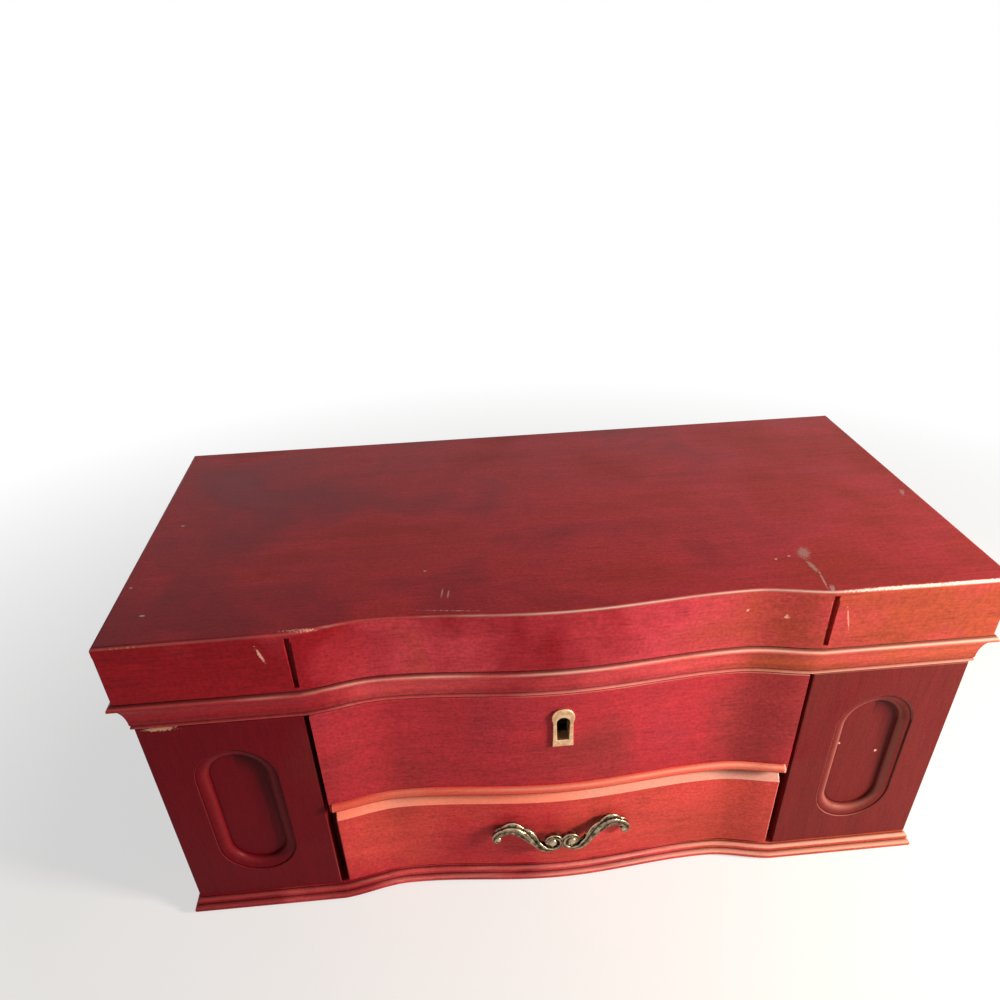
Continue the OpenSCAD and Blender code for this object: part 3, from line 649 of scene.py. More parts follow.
def bay_piece(
    half: float, back: float, front: float, profile: Sequence[Point], shades: Sequence[Point] = ()
) -> Bm:
    """A piece with a flat back and a face that follows the bay.

    Args:
        half: Half its width.
        back: y of its back.
        front: y of its face where the bay is straight.
        profile: Points of (out, z) up the face.
        shades: Wear with painted highlight, and dirt with painted shade, of each point, then of the
            two at the back.

    Returns:
        A closed mesh.
    """
    rings = []
    for x in BAY.stations(half):
        ring = [Vector((x, front + BAY.setback(x) - out, z)) for out, z in profile]
        rings.append(ring + [Vector((x, back, profile[i][1])) for i in (-1, 0)])
    return loft(rings, shades)


def block(low: Point, high: Point) -> Bm:
    """A plain block.

    Args:
        low: Its lowest corner.
        high: Its highest corner.

    Returns:
        A closed mesh.
    """
    bm = with_layers(bmesh.new())
    bmesh.ops.create_cube(bm, size=1.0)
    bmesh.ops.translate(bm, vec=(0.5, 0.5, 0.5), verts=bm.verts[:])
    bmesh.ops.scale(bm, vec=Vector(high) - Vector(low), verts=bm.verts[:])
    bmesh.ops.translate(bm, vec=low, verts=bm.verts[:])
    return bm


def rod(points: Sequence[tuple[Point, float]], sides: int = 32) -> Bm:
    """A turned rod: circles of given radii round points on a straight line.

    Args:
        points: Centre and radius of each circle, in order.
        sides: Facets round it.

    Returns:
        A closed mesh.
    """
    axis = Vector(points[-1][0]) - Vector(points[0][0])
    turn = Vector((0, 0, 1)).rotation_difference(axis)
    spokes = [2 * pi * k / sides for k in range(sides)]
    return loft(
        [
            [Vector(c) + turn @ Vector((r * cos(a), r * sin(a), 0)) for a in spokes]
            for c, r in points
        ]
    )


def join(target: Bm, *others: Bm) -> Bm:
    """Joins meshes.

    Args:
        target: The mesh that takes in the others.
        others: The meshes to move, which are used up.

    Returns:
        The first mesh.
    """
    for other in others:
        store = bpy.data.meshes.new("joined")
        other.to_mesh(store)
        other.free()
        target.from_mesh(store)
        bpy.data.meshes.remove(store)
    return target


def placed(name: str, data: bpy.types.ID) -> Obj:
    """Puts a mesh, a lamp or a camera into the scene.

    Args:
        name: The object's name.
        data: What it shows.

    Returns:
        The object, at the origin.
    """
    made = bpy.data.objects.new(name, data)
    bpy.context.scene.collection.objects.link(made)
    return made


def carve(bm: Bm, cutters: Iterable[Bm]) -> Bm:
    """Cuts closed shapes out of a closed shape.

    Args:
        bm: The shape, which is used up.
        cutters: The shapes to cut away, which are used up.

    Returns:
        What is left.
    """
    made = []
    for index, shape in enumerate([bm, *cutters]):
        mesh = bpy.data.meshes.new("stock")
        shape.to_mesh(mesh)
        shape.free()
        made.append(placed("stock", mesh))
        if index:
            cut = made[0].modifiers.new("cut", "BOOLEAN")
            cut.operation, cut.solver, cut.object = "DIFFERENCE", "EXACT", made[-1]
    result = bmesh.new()
    result.from_object(made[0], bpy.context.evaluated_depsgraph_get())
    for gone in made:
        mesh = gone.data
        bpy.data.objects.remove(gone)
        bpy.data.meshes.remove(mesh)
    bmesh.ops.remove_doubles(result, verts=result.verts[:], dist=WELD)
    return with_layers(result)


def corner_edges(bm: Bm, keep: Callable[[Vector, Vector], bool], degrees: float = 40) -> list:
    """Edges with a sharp outer corner whose middle and direction pass a test.

    Args:
        bm: The mesh.
        keep: Takes an edge's middle and its direction.
        degrees: Least angle between the two faces.

    Returns:
        The edges.
    """
    found = []
    for edge in bm.edges:
        if len(edge.link_faces) != 2 or edge.calc_face_angle_signed(0.0) < radians(degrees):
            continue
        a, b = (v.co for v in edge.verts)
        if keep((a + b) / 2, (b - a).normalized()):
            found.append(edge)
    return found


def soften(bm: Bm, edges: Iterable, radius: float, segments: int = 3, wear_and_highlight: float = 1.0) -> None:
    """Rounds edges and marks the rounding as rubbed, with a painted highlight, most where it faces
    askew.

    Args:
        bm: The mesh.
        edges: The edges to round.
        radius: Width of the rounding.
        segments: Steps across it.
        wear_and_highlight: Value of wear and painted highlight for the rounding's inner points.
    """
    wear_and_highlight_layer = bm.verts.layers.float[WEAR_AND_HIGHLIGHT]
    made = bmesh.ops.bevel(
        bm, geom=list(edges), offset=radius, offset_type="OFFSET", segments=segments,
        profile=0.5, affect="EDGES", material=-1, clamp_overlap=True,
    )
    strip = set(made["faces"])
    bm.normal_update()
    for vert in made["verts"]:
        if all(f in strip for f in vert.link_faces):
            slope = 1 - max(abs(value) for value in vert.normal)
            vert[wear_and_highlight_layer] = wear_and_highlight * min(1.0, slope / FULL_SLOPE) ** 1.5
    for face in strip:
        for edge in face.edges:
            if any(f not in strip for f in edge.link_faces):
                edge.smooth = False


def shade_hollows(bm: Bm, gain: float, dull: float = 0.0) -> Bm:
    """Marks ridges as rubbed, with a painted highlight, and hollows as dark with patina, from the
    mesh's own curvature.

    Args:
        bm: A finely divided mesh.
        gain: Strength of the two values.
        dull: What is taken off the ridges, so that only the sharpest are rubbed bright with the
            painted highlight.

    Returns:
        The same mesh.
    """
    wear_and_highlight_layer, dirt_and_shade_layer = (bm.verts.layers.float[name] for name in (WEAR_AND_HIGHLIGHT, DIRT_AND_SHADE))
    bm.normal_update()
    for vert in bm.verts:
        edges = [e for e in vert.link_edges if e.calc_length() > 1e-5]
        if not edges:
            continue
        bend = sum(
            (e.other_vert(vert).co - vert.co).dot(vert.normal) / e.calc_length() for e in edges
        ) / len(edges)
        vert[wear_and_highlight_layer] = min(1.0, max(0.0, -bend * gain - dull))
        vert[dirt_and_shade_layer] = min(1.0, max(0.0, bend * gain * 1.5))
    return bm


def publish(
    bm: Bm,
    name: str,
    finish: Finish,
    body: str,
    replaces: Sequence[str] = (),
    sharp: float = 34.0,
    trim: Finish | None = None,
    trimmed: Callable[[bmesh.types.BMFace], bool] = lambda face: False,
) -> Obj:
    """Turns a mesh in the chest's frame into a finished piece that rides on a body.

    Args:
        bm: The mesh, which is used up.
        name: The piece's name.
        finish: Its material.
        body: The body it moves with.
        replaces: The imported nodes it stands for.
        sharp: Edges with a larger face angle stay crisp, in degrees.
        trim: A second material.
        trimmed: Picks the faces that take it.

    Returns:
        The piece.
    """
    bm.normal_update()
    for face in bm.faces:
        face.smooth = True
        face.material_index = int(trimmed(face))
    bmesh.ops.scale(bm, vec=(MM, MM, MM), verts=bm.verts[:])
    bmesh.ops.translate(bm, vec=Frame.shift, verts=bm.verts[:])
    for edge in bm.edges:
        if len(edge.link_faces) == 2 and edge.calc_face_angle(0.0) > radians(sharp):
            edge.smooth = False
    mesh = bpy.data.meshes.new(name)
    bm.to_mesh(mesh)
    bm.free()
    for layer in (finish, trim):
        if layer:
            mesh.materials.append(layer.make())
    piece = placed(name, mesh)
    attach(piece, body)
    if replaces:
        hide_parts(*replaces)
    LOG.info("%s: %d faces on %s", name, len(mesh.polygons), body)
    return piece


def board(node: str, finish: Finish, body: str, radius: float = 0.6) -> None:
    """A planed board with slightly rounded edges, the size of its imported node.

    Args:
        node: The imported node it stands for.
        finish: Its material.
        body: The body it moves with.
        radius: Rounding of its edges.
    """
    bm = block(*Frame.box(node))
    soften(bm, bm.edges[:], radius, wear_and_highlight=0.6)
    publish(bm, node + "_planed", finish, body, [node])


def lined(node: str, body: str, rounding: float = 0.45) -> None:
    """Velvet over a packed lining: its shape with every edge rounded by the pile.

    Args:
        node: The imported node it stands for.
        body: The body it moves with.
        rounding: Radius of its edges.
    """
    bm = bmesh.new()
    bm.from_mesh(bpy.data.objects[node].data)
    with_layers(bm)
    bmesh.ops.translate(bm, vec=-Frame.shift, verts=bm.verts[:])
    bmesh.ops.scale(bm, vec=(1 / MM,) * 3, verts=bm.verts[:])
    bmesh.ops.remove_doubles(bm, verts=bm.verts[:], dist=1e-3)
    flat = radians(1)
    bmesh.ops.dissolve_limit(bm, angle_limit=flat, verts=bm.verts[:], edges=bm.edges[:])
    sharp = [e for e in bm.edges if len(e.link_faces) == 2 and e.calc_face_angle(0.0) > 0.7]
    soften(bm, sharp, rounding, 2, 0.0)
    publish(bm, node + "_velvet", VELVET, body, [node], 60)


@dataclass
class Lid:
    """The hinged lid: serpentine front, flat top, lined board, mirror and frame."""

    half: float = 200.0
    slot_x: float = 119.4
    slot_width: float = 2.4
    slot_depth: float = 3.2
    slot_foot: float = 1.8
    slot_head: float = 2.3
    edge_radius: float = 1.7
    mirror_lip: float = 3.0

    def slots(self, low: float, high: float) -> list[Bm]:
        """Cutters for the two slots in the front, which paint shade on their walls.

        Args:
            low: z of the slots' foot.
            high: z of their head.

        Returns:
            The cutters.
        """
        edge, deep = self.slot_width / 2, self.slot_depth
        saws = []
        for x in (-self.slot_x, self.slot_x):
            saws.append(block((x - edge, -3, low), (x + edge, deep, high)))
            # Painted shade on the slots' walls.
            dirt_and_shade_layer = saws[-1].verts.layers.float[DIRT_AND_SHADE]
            for vert in saws[-1].verts:
                vert[dirt_and_shade_layer] = 1.0
        return saws

    def top(self) -> None:
        """The top board, with its rounded upper edge rubbed pale under a painted highlight."""
        low, high = Frame.box("lid_top")
        bm = bay_piece(self.half, high.y, 0.0, [(0, low.z), (0, high.z)])
        bm = carve(bm, self.slots(low.z - 1, high.z - self.slot_head))
        rim = corner_edges(bm, lambda mid, run: mid.z > high.z - 0.1)
        soften(bm, rim, self.edge_radius, 6, 0.85)
        publish(
            bm, "lid_top_board", LID_TOP_WOOD, "lid", ["lid_top"], trim=LID_WOOD,
            trimmed=lambda face: face.normal.z < 0.35 and face.normal.y < -0.5,
        )

    def front_rail(self) -> None:
        """The front rail, with two slots sawn into its face."""
        low, high = Frame.box("lid_front_rail")
        bm = bay_piece(self.half, high.y, 0.0, [(0, low.z), (0, high.z)])
        bm = carve(bm, self.slots(low.z + self.slot_foot, high.z + 1))

        def worn_and_highlight(mid: Vector, run: Vector) -> bool:
            """Picks the foot, the slots' sides and the two ends."""
            upright = abs(abs(mid.x) - self.slot_x) < 2 or abs(mid.x) > self.half - 1
            return mid.y < 8 and (mid.z < low.z + 0.1 or (abs(run.z) > 0.9 and upright))

        soften(bm, corner_edges(bm, worn_and_highlight), 0.5, 4, 0.45)
        publish(bm, "lid_front_board", LID_WOOD, "lid", ["lid_front_rail"])

    def mirror_frame(self) -> None:
        """The rebated frame round the mirror."""
        low, high = Frame.box("mirror_frame")
        glass_low, glass_high = Frame.box("mirror_glass")
        lip = Vector((self.mirror_lip, self.mirror_lip, 0))
        near, far = (glass_low + lip).xy, (glass_high - lip).xy
        through = block((*near, low.z - 1), (*far, high.z + 1))
        rebate = block(glass_low, (*glass_high.xy, high.z + 1))
        bm = carve(block(low, high), [through, rebate])
        soften(bm, corner_edges(bm, lambda mid, run: mid.z < low.z + 0.1), 1.4, 4, 0.3)
        publish(bm, "mirror_frame_moulded", DOOR_WOOD, "lid", ["mirror_frame"])

    def mirror(self) -> None:
        """The silvered glass, with a narrow bevel ground on its face."""
        low, high = Frame.box("mirror_glass")
        bm = block(low, high)
        soften(bm, corner_edges(bm, lambda mid, run: mid.z < low.z + 0.1), 0.8, 1, 0.0)
        publish(bm, "mirror_plate", MIRROR, "lid", ["mirror_glass"])

    def build(self) -> None:
        """Builds all of the lid."""
        self.top()
        self.front_rail()
        for node in ("lid_side_rail_left", "lid_side_rail_right", "lid_back_rail"):
            board(node, SIDE_WOOD if "side" in node else LID_WOOD, "lid", 0.4)
        self.mirror()
        self.mirror_frame()
        bm = block(*Frame.box("mirror_board"))
        soften(bm, bm.edges[:], 1.2, 3, 0.0)
        publish(bm, "mirror_board_velvet", VELVET, "lid", ["mirror_board"])


@dataclass
class Cornice:
    """The moulding under the lid, in three mitred lengths."""

    out: float = 6.0
    height: float = 18.0
    steps: int = 10

    def section(self) -> list[Row]:
        """The moulding's section: fillet, ovolo, nose and a sloping top.

        Returns:
            Out, z, wear with painted highlight, and dirt with painted shade, of each point.
        """
        low, high = Frame.box("front_rail")
        # Painted shade in the joint at the foot, in the crease over the fillet, at the cove's foot
        # and on the sloping top in the gap under the lid; a painted highlight along the fillet and
        # the nose.
        rows = [
            (0.0, low.z, 0.0, 0.6),
            (0.9, low.z + 0.6, 0.5, 0.0),
            (1.1, low.z + 1.4, 0.3, 0.0),
            (0.6, low.z + 2.4, 0.0, 0.9),
        ]
        for i in range(self.steps + 1):
            a = pi / 2 * i / self.steps
            rise = low.z + 3 + (self.height - 6) * sin(a)
            rows.append((1 + (self.out - 1) * (1 - cos(a)), rise, 0.0, 0.3 * (i < 2)))
        rows += [
            (self.out, high.z - 2.3, 0.1, 0.0),
            (self.out - 0.3, high.z - 1.5, 0.75, 0.0),
            (self.out - 0.9, high.z - 0.8, 0.1, 0.7),
            (self.out - 2.2, high.z, 0.0, 1.0),
            (0.0, high.z, 0.0, 1.0),
        ]
        return rows

    def length(self, name: str, stations: Sequence[Point]) -> None:
        """One length of the moulding.

        Args:
            name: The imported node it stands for.
            stations: Side that x grows to with the overhang (-1, 0, 1), x and y of each ring.
        """
        rows = self.section()
        level = Frame.box("front_rail")[0].y + 20
        rings = [
            [Vector((x + grow * out, y if y > level else y - out, z)) for out, z, _, _ in rows]
            for grow, x, y in stations
        ]
        bm = loft(rings, [row[2:] for row in rows])
        publish(bm, name + "_moulded", CASE_WOOD, "case", [name])

    def build(self) -> None:
        """Builds the front and the two sides, which meet in mitres at the corners."""
        low, high = Frame.box("front_rail")
        middle = [(0, x, low.y + BAY.setback(x)) for x in BAY.stations(high.x - 1)]
        self.length("cornice_front", [(-1, low.x, low.y), *middle, (1, high.x, low.y)])
        for side in Side:
            name = "cornice_" + side.name.lower()
            x, back = side.value * high.x, Frame.box(name)[1].y
            self.length(name, [(side.value, x, low.y), (side.value, x, back)])


@dataclass
class Base:
    """The base board, with two beads along its front and sides."""

    out: float = 3.7
    steps: int = 8

    def levels(self, low: float, high: float) -> list[Row]:
        """The edge's section, from the foot to the top.

        Args:
            low: z of its foot.
            high: z of its top.

        Returns:
            Overhang, z, wear with painted highlight, and dirt with painted shade, of each level.
        """
        bead = (high - low) * 0.42
        upper = self.out - 1.8
        # Painted shade at the foot and in the creases over each bead; the beads' upper faces are
        # rubbed pale under a painted highlight.
        rows = [(self.out - 1.2, low, 0.0, 0.4)]
        for middle, out, last in ((low + bead / 2, self.out, 60), (low + 1.6 * bead, upper, 90)):
            for i in range(self.steps + 1):
                a = radians(-60 + (60 + last) * i / self.steps)
                rows.append((out - 1 + cos(a), middle + bead / 2 * sin(a), 0.45 * (a > 0.3), 0.0))
            if out == self.out:
                rows.append((upper - 0.6, low + bead + 0.4, 0.0, 1.0))
        rows += [(-0.4, low + 2.1 * bead + 0.2, 0.0, 1.0), (-0.4, high, 0.0, 0.0)]
        return rows

    def build(self) -> None:
        """One loft up through the beads; each level is the plan set out by its overhang."""
        low, high = Frame.box("base_board")
        half = -Frame.box("side_board_left")[0].x
        front = Frame.box("front_rail")[0].y
        rows = self.levels(low.z, high.z)
        curve = [(x, front + BAY.setback(x)) for x in BAY.stations(half - 1)]
        rings = []
        for out, z, _, _ in rows:
            end, face = half + out, front - out
            left = [Vector((-end, high.y, z)), Vector((-end, face, z))]
            right = [Vector((end, face, z)), Vector((end, high.y, z))]
            rings.append(left + [Vector((x, y - out, z)) for x, y in curve] + right)
        bm = loft(rings, [row[2:] for row in rows], by_ring=True)
        publish(bm, "base_board_moulded", CASE_WOOD, "case", ["base_board"])


@dataclass
class FrontPanel:
    """The fixed panel over the drawer, with its bead, its rail and the keyhole plate."""

    half: float = 118.1
    inset: float = 1.0
    bead_half: float = 116.5
    bead_radius: float = 2.6
    hole_half: float = 3.4
    edge: float = 0.9
    sleeve: float = 0.25
    key_foot: float = 2.9
    key_arch: float = 3.2
    plate_head: float = 5.65

    def face(self) -> float:
        """y of the panel's face where the bay is straight."""
        return Frame.box("front_rail")[0].y - self.inset

    def key_z(self) -> float:
        """z of the keyhole plate's middle."""
        return sum(corner.z for corner in Frame.box("keyhole_plate")) / 2

    def panel(self) -> None:
        """The panel, rubbed pale under a painted highlight along its top edge, with the keyhole
        through it.
        """
        low, high = Frame.box("front_panel")
        z, edge = self.key_z(), self.hole_half
        stock = bay_piece(self.half, high.y, self.face(), [(0, low.z), (0, high.z - 0.05)])
        bm = carve(stock, [block((-edge, -5, z - 8.1), (edge, 40, z + 6.5))])
        top = corner_edges(bm, lambda mid, run: mid.z > high.z - 0.2 and mid.y < high.y - 1)
        soften(bm, top, self.edge, 4, 0.6)
        publish(bm, "front_panel_curved", PANEL_WOOD, "case", ["front_panel"])

    def bead(self) -> None:
        """The half-round bead along the panel's foot, with raw sawn ends."""
        low, high = Frame.box("panel_bead")
        z, r, y = (low.z + high.z) / 2, self.bead_radius, self.face()
        arc = [radians(-90 + 180 * i / 16) for i in range(17)]
        rings = [
            [Vector((x, y + BAY.setback(x) - r * cos(a), z + r * sin(a))) for a in arc]
            for x in BAY.stations(self.bead_half)
        ]
        # A painted highlight along the bead's upper front, and painted shade on its underside.
        shades = [(0.35 * exp(-(((a - 0.8) / 0.35) ** 2)), max(0.0, -sin(a))) for a in arc]
        bm = loft(rings, shades)
        wear_and_highlight_layer = bm.verts.layers.float[WEAR_AND_HIGHLIGHT]
        for vert in bm.verts:
            if abs(vert.co.x) > self.bead_half - 0.1:
                vert[wear_and_highlight_layer] = 1.0
        publish(bm, "panel_bead_round", BEAD_WOOD, "case", ["panel_bead"])

    def rail(self) -> None:
        """The rail behind the cornice."""
        low, high = Frame.box("front_rail")
        bm = bay_piece(high.x, high.y, low.y, [(0, low.z), (0, high.z)])
        publish(bm, "front_rail_curved", CASE_WOOD, "case", ["front_rail"])

    def outline(self, points: Sequence[Point], y: float) -> Ring:
        """Half an outline, up one side, and its mirror image down the other."""
        back = [(-x, z) for x, z in reversed(points) if abs(x) > 1e-3]
        return [Vector((x, y, z)) for x, z in [*points, *back]]

    def keyhole(self, grow: float, y: float) -> Ring:
        """The keyhole's outline: an arch over a tapering foot.

        Args:
            grow: How far outside the hole it runs.
            y: Where it lies.

        Returns:
            Its points.
        """
        middle, r = self.key_z(), self.key_arch + grow
        arch = [radians(90 * i / 10) for i in range(11)]
        points = [(self.key_foot + grow, middle - 7.8 - grow)]
        points += [(r * cos(a), middle + self.key_arch + r * sin(a)) for a in arch]
        return self.outline(points, y)

    def plate(self) -> None:
        """The brass plate: a domed head over a narrower foot, with a sleeve through the panel."""
        low, high = Frame.box("keyhole_plate")
        top, r = high.z, self.plate_head
        head = [radians(-16 + 106 * i / 14) for i in range(15)]
        points = [(5.3, low.z), (5.15, low.z + 1.2), (5.0, low.z + 6), (4.95, top - 8.6)]
        points += [(r * cos(a), top - r + r * sin(a)) for a in head]
        bm = with_layers(bmesh.new())
        for ring in (self.outline(points, high.y), self.keyhole(0, high.y)):
            verts = [bm.verts.new(point) for point in ring]
            for pair in zip(verts, verts[1:] + verts[:1]):
                bm.edges.new(pair)
        flat = bmesh.ops.triangle_fill(bm, use_beauty=True, edges=bm.edges[:])["geom"]
        faces = [item for item in flat if isinstance(item, bmesh.types.BMFace)]
        grown = bmesh.ops.extrude_face_region(bm, geom=faces, use_keep_orig=True)["geom"]
        front = [item for item in grown if isinstance(item, bmesh.types.BMVert)]
        bmesh.ops.translate(bm, vec=(0, low.y - high.y, 0), verts=front)
        bmesh.ops.recalc_face_normals(bm, faces=bm.faces[:])
        soften(bm, corner_edges(bm, lambda mid, run: mid.y < low.y + 0.01), 0.5, 3, 0.9)
        near, deep = high.y, Frame.box("lock_case")[0].y - 0.2
        steps = ((self.sleeve, near), (self.sleeve, deep), (0, deep), (0, near))
        rings = [self.keyhole(grow, y) for grow, y in steps]
        tube = loft([*rings, rings[0]])
        for cap in [f for f in tube.faces if len(f.verts) > 8]:
            tube.faces.remove(cap)
        bmesh.ops.remove_doubles(tube, verts=tube.verts[:], dist=WELD)
        join(bm, tube)
        publish(bm, "keyhole_plate_arched", BRASS, "case", ["keyhole_plate"])

    def build(self) -> None:
        """Builds the panel, the bead, the rail and the plate."""
        self.panel()
        self.bead()
        self.rail()
        self.plate()


@dataclass
class CornerDoor:
    """A corner door with a sunk, round-ended panel."""

    side: Side
    sunk_half: float = 20.0
    sunk_height: float = 87.0
    step: float = 0.8
    cove: float = 5.0
    depth: float = 4.5
    points: int = 96

    def racetrack(self, centre: Vector, radius: float, depth: float) -> Ring:
        """A round-ended loop in the door's face plane.

        Args:
            centre: Middle of the sunk panel, on the face.
            radius: Half width of the loop.
            depth: How far behind the face it lies.

        Returns:
            The loop's points.
        """
        reach = self.sunk_height / 2 - self.sunk_half
        loop = []
        for k in range(self.points):
            a = 2 * pi * (k + 0.5) / self.points
            lift = reach if sin(a) > 0 else -reach
            loop.append(centre + Vector((radius * cos(a), depth, lift + radius * sin(a))))
        return loop

    def build(self) -> None:
        """The door board, with a step, a cove and a flat field cut into its face."""
        name = "door_" + self.side.name.lower()
        low, high = Frame.box(name)
        centre = Vector(((low.x + high.x) / 2, low.y, (low.z + high.z) / 2))
        wide, rim, deep = self.sunk_half, self.sunk_half - 1.0, self.depth
        # The rim is rubbed pale; painted shade lies in the corners at the step and at the field's
        # edge, and a painted highlight part way down the cove.
        rows = [
            (wide + 0.1, -2.0, 0.0, 0.0),
            (wide + 0.1, -0.1, 0.3, 0.0),
            (wide - 0.25, 0.2, 0.3, 0.0),
            (wide - 0.35, self.step, 0.0, 0.7),
        ]
        for i in range(9):
            a = pi / 2 * i / 8
            sink = self.step + (deep - self.step) * (1 - cos(a))
            painted_highlight = 0.2 * exp(-(((a - 0.9) / 0.35) ** 2))
            rows.append((rim - self.cove * sin(a), sink, painted_highlight, 0.0))
        rows += [(rim - self.cove - 0.2, deep, 0.0, 0.7)]
        rows += [(rim - self.cove - 1.4, deep, 0.0, 0.0), (3.0, deep, 0.0, 0.0)]
        rings = [self.racetrack(centre, radius, sink) for radius, sink, _, _ in rows]
        cutter = loft(rings, [row[2:] for row in rows], by_ring=True)
        bm = block(low, high)
        soften(bm, corner_edges(bm, lambda mid, run: mid.y < low.y + 0.1), 0.6, 4, 0.25)
        bm = carve(bm, [cutter])
        publish(bm, name + "_sunk_panel", DOOR_WOOD, name, [name])


@dataclass
class ScrollPull:
    """The cast pull: two leaf scrolls that end in volutes, on two short posts."""

    posts: float = 52.0
    level: float = 35.0
    post_rise: float = 8.8
    post_radius: float = 2.6
    reach: float = 4.6
    arm_reach: float = 3.2
    volute_x: float = 5.2
    volute_turn: float = 430.0
    volute_steps: int = 44
    arm_steps: int = 12
    lobes: float = 5.0
    flutes: int = 5
    points: int = 48
    arm: tuple[Row, ...] = (
        (5.2, -4.9, 1.7, 2.2), (9.5, -4.3, 2.2, 2.2), (13.4, -0.7, 2.8, 2.2),
        (17.2, 4.1, 3.2, 2.1), (21.5, 7.9, 3.5, 2.1), (26.5, 9.5, 3.4, 2.1),
        (31.0, 8.1, 2.9, 2.0), (34.2, 4.8, 2.3, 1.8), (35.6, 1.4, 1.8, 1.6),
        (34.4, -0.4, 1.4, 1.4), (33.0, 0.4, 0.8, 0.9),
    )

    def face(self) -> float:
        """y of the drawer's face where the bay is straight."""
        return Frame.box("front_rail")[0].y - DRAWER_INSET

    def middle(self, across: float) -> float:
        """The pull's middle: volutes in front, arms close to the curved drawer.

        Args:
            across: Distance from the drawer's middle.

        Returns:
            Its y.
        """
        t = ease(min(1.0, max(0.0, (abs(across) - 8) / 18)))
        volute = self.face() + BAY.setback(0) - self.reach
        return (1 - t) * volute + t * (self.face() + BAY.setback(across) - self.arm_reach)

    def path(self) -> list[Row]:
        """One scroll's stem, closely spaced: a volute, then a curve through the arm's points.

        Returns:
            Across, up, half height and half thickness at each place.
        """
        rows = []
        for i in range(self.volute_steps):
            s = i / self.volute_steps
            a, r = radians(-90 - self.volute_turn * (1 - s)), 1.4 + 3.9 * s
            across, up = self.volute_x + r * cos(a), r * sin(a) + 0.4
            rows.append((across, up, 0.9 + 0.8 * s, 1.6 + 0.6 * s))
        last = len(self.arm) - 1
        for i in range(last):
            near = [self.arm[max(0, min(last, k))] for k in (i - 1, i, i + 1, i + 2)]
            for j in range(self.arm_steps):
                t = j / self.arm_steps
                rows.append(
                    tuple(
                        0.5 * (
                            2 * b + (c - a) * t + (2 * a - 5 * b + 4 * c - d) * t * t
                            + (3 * b - a - 3 * c + d) * t**3
                        )
                        for a, b, c, d in zip(*near)
                    )
                )
        return rows

    def scroll(self, side: Side) -> Bm:
        """One scroll: a fluted, twisting stem with a lobed leaf edge on its outer side.

        Args:
            side: The end of the chest that it reaches to.

        Returns:
            A closed mesh.
        """
        rows = self.path()
        rings = []
        for i, (across, up, high, deep) in enumerate(rows):
            before, after = rows[max(i - 1, 0)], rows[min(i + 1, len(rows) - 1)]
            run = Vector((after[0] - before[0], after[1] - before[1])).normalized()
            leaf = max(0.0, (i - self.volute_steps) / (len(rows) - self.volute_steps))
            notch = 1 - abs(sin(pi * self.lobes * leaf)) if leaf else 0.0
            swell = sin(pi * min(1.0, leaf * 1.1)) ** 0.5 if leaf else 0.0
            ring, y = [], self.middle(across)
            for k in range(self.points):
                a = 2 * pi * k / self.points
                cut = swell * notch * max(0.0, cos(a))
                flute = 1 + (0.11 + 0.07 * swell) * cos(self.flutes * a + 13.0 * leaf)
                reach = high * flute * (1 - 0.40 * cut) * cos(a)
                lift = max(deep * flute * (1 - 0.3 * cut) * sin(a), -0.9 * deep)
                x = side.value * (across - run.y * reach)
                z = self.level + up + run.x * reach
                ring.append(Vector((x, y - lift, z)))
            rings.append(ring)
        # Ridges rubbed bright, partly a painted highlight; hollows dark with patina.
        return shade_hollows(loft(rings), 9.0, 0.8)

    def button(self, x: float, z: float, radius: float, out: float) -> Bm:
        """A domed boss on the front of a scroll.

        Args:
            x: Its place across.
            z: Its height.
            radius: Its radius.
            out: How far it stands out from the scroll's middle.

        Returns:
            A closed mesh.
        """
        y = self.middle(x) - out
        steps = [radians(90 * i / 8) for i in range(9)]
        dome = [
            ((x, y - 0.8 * radius * sin(a), z), max(0.05, radius * cos(a))) for a in steps
        ]
        bm = rod([((x, y + 1.0, z), radius * 0.9), *dome], 24)
        wear_and_highlight_layer, dirt_and_shade_layer = (bm.verts.layers.float[name] for name in (WEAR_AND_HIGHLIGHT, DIRT_AND_SHADE))
        for vert in bm.verts:
            height = (y - vert.co.y) / radius
            # The dome's front rubbed bright, partly a painted highlight; its foot dark with patina.
            vert[wear_and_highlight_layer], vert[dirt_and_shade_layer] = max(0.0, height) ** 2, float(height < 0.1)
        return bm

    def build(self) -> None:
        """Both scrolls, their bosses, the link between them and the two posts."""
        half, foot = self.posts / 2, self.post_radius
        arm = self.middle(half)
        face = self.face() + BAY.setback(half - foot)
        bm = self.scroll(Side.RIGHT)
        join(bm, self.scroll(Side.LEFT), self.button(0, self.level - 2.2, 1.6, 0.4))
        turned = [(arm, 2.2), (face - 1.2, 2.2), (face - 0.8, foot), (face - 0.02, foot)]
        for s in (-1, 1):
            join(bm, self.button(s * self.volute_x, self.level + 0.4, 2.5, 1.0))
            join(bm, self.button(s * 33.8, self.level + 1.6, 1.7, 0.5))
            z = self.level + self.post_rise
            join(bm, rod([((s * half, place, z), r) for place, r in turned]))
        publish(bm, "drawer_pull_cast", BRONZE, "drawer", ["drawer_pull"], 50)


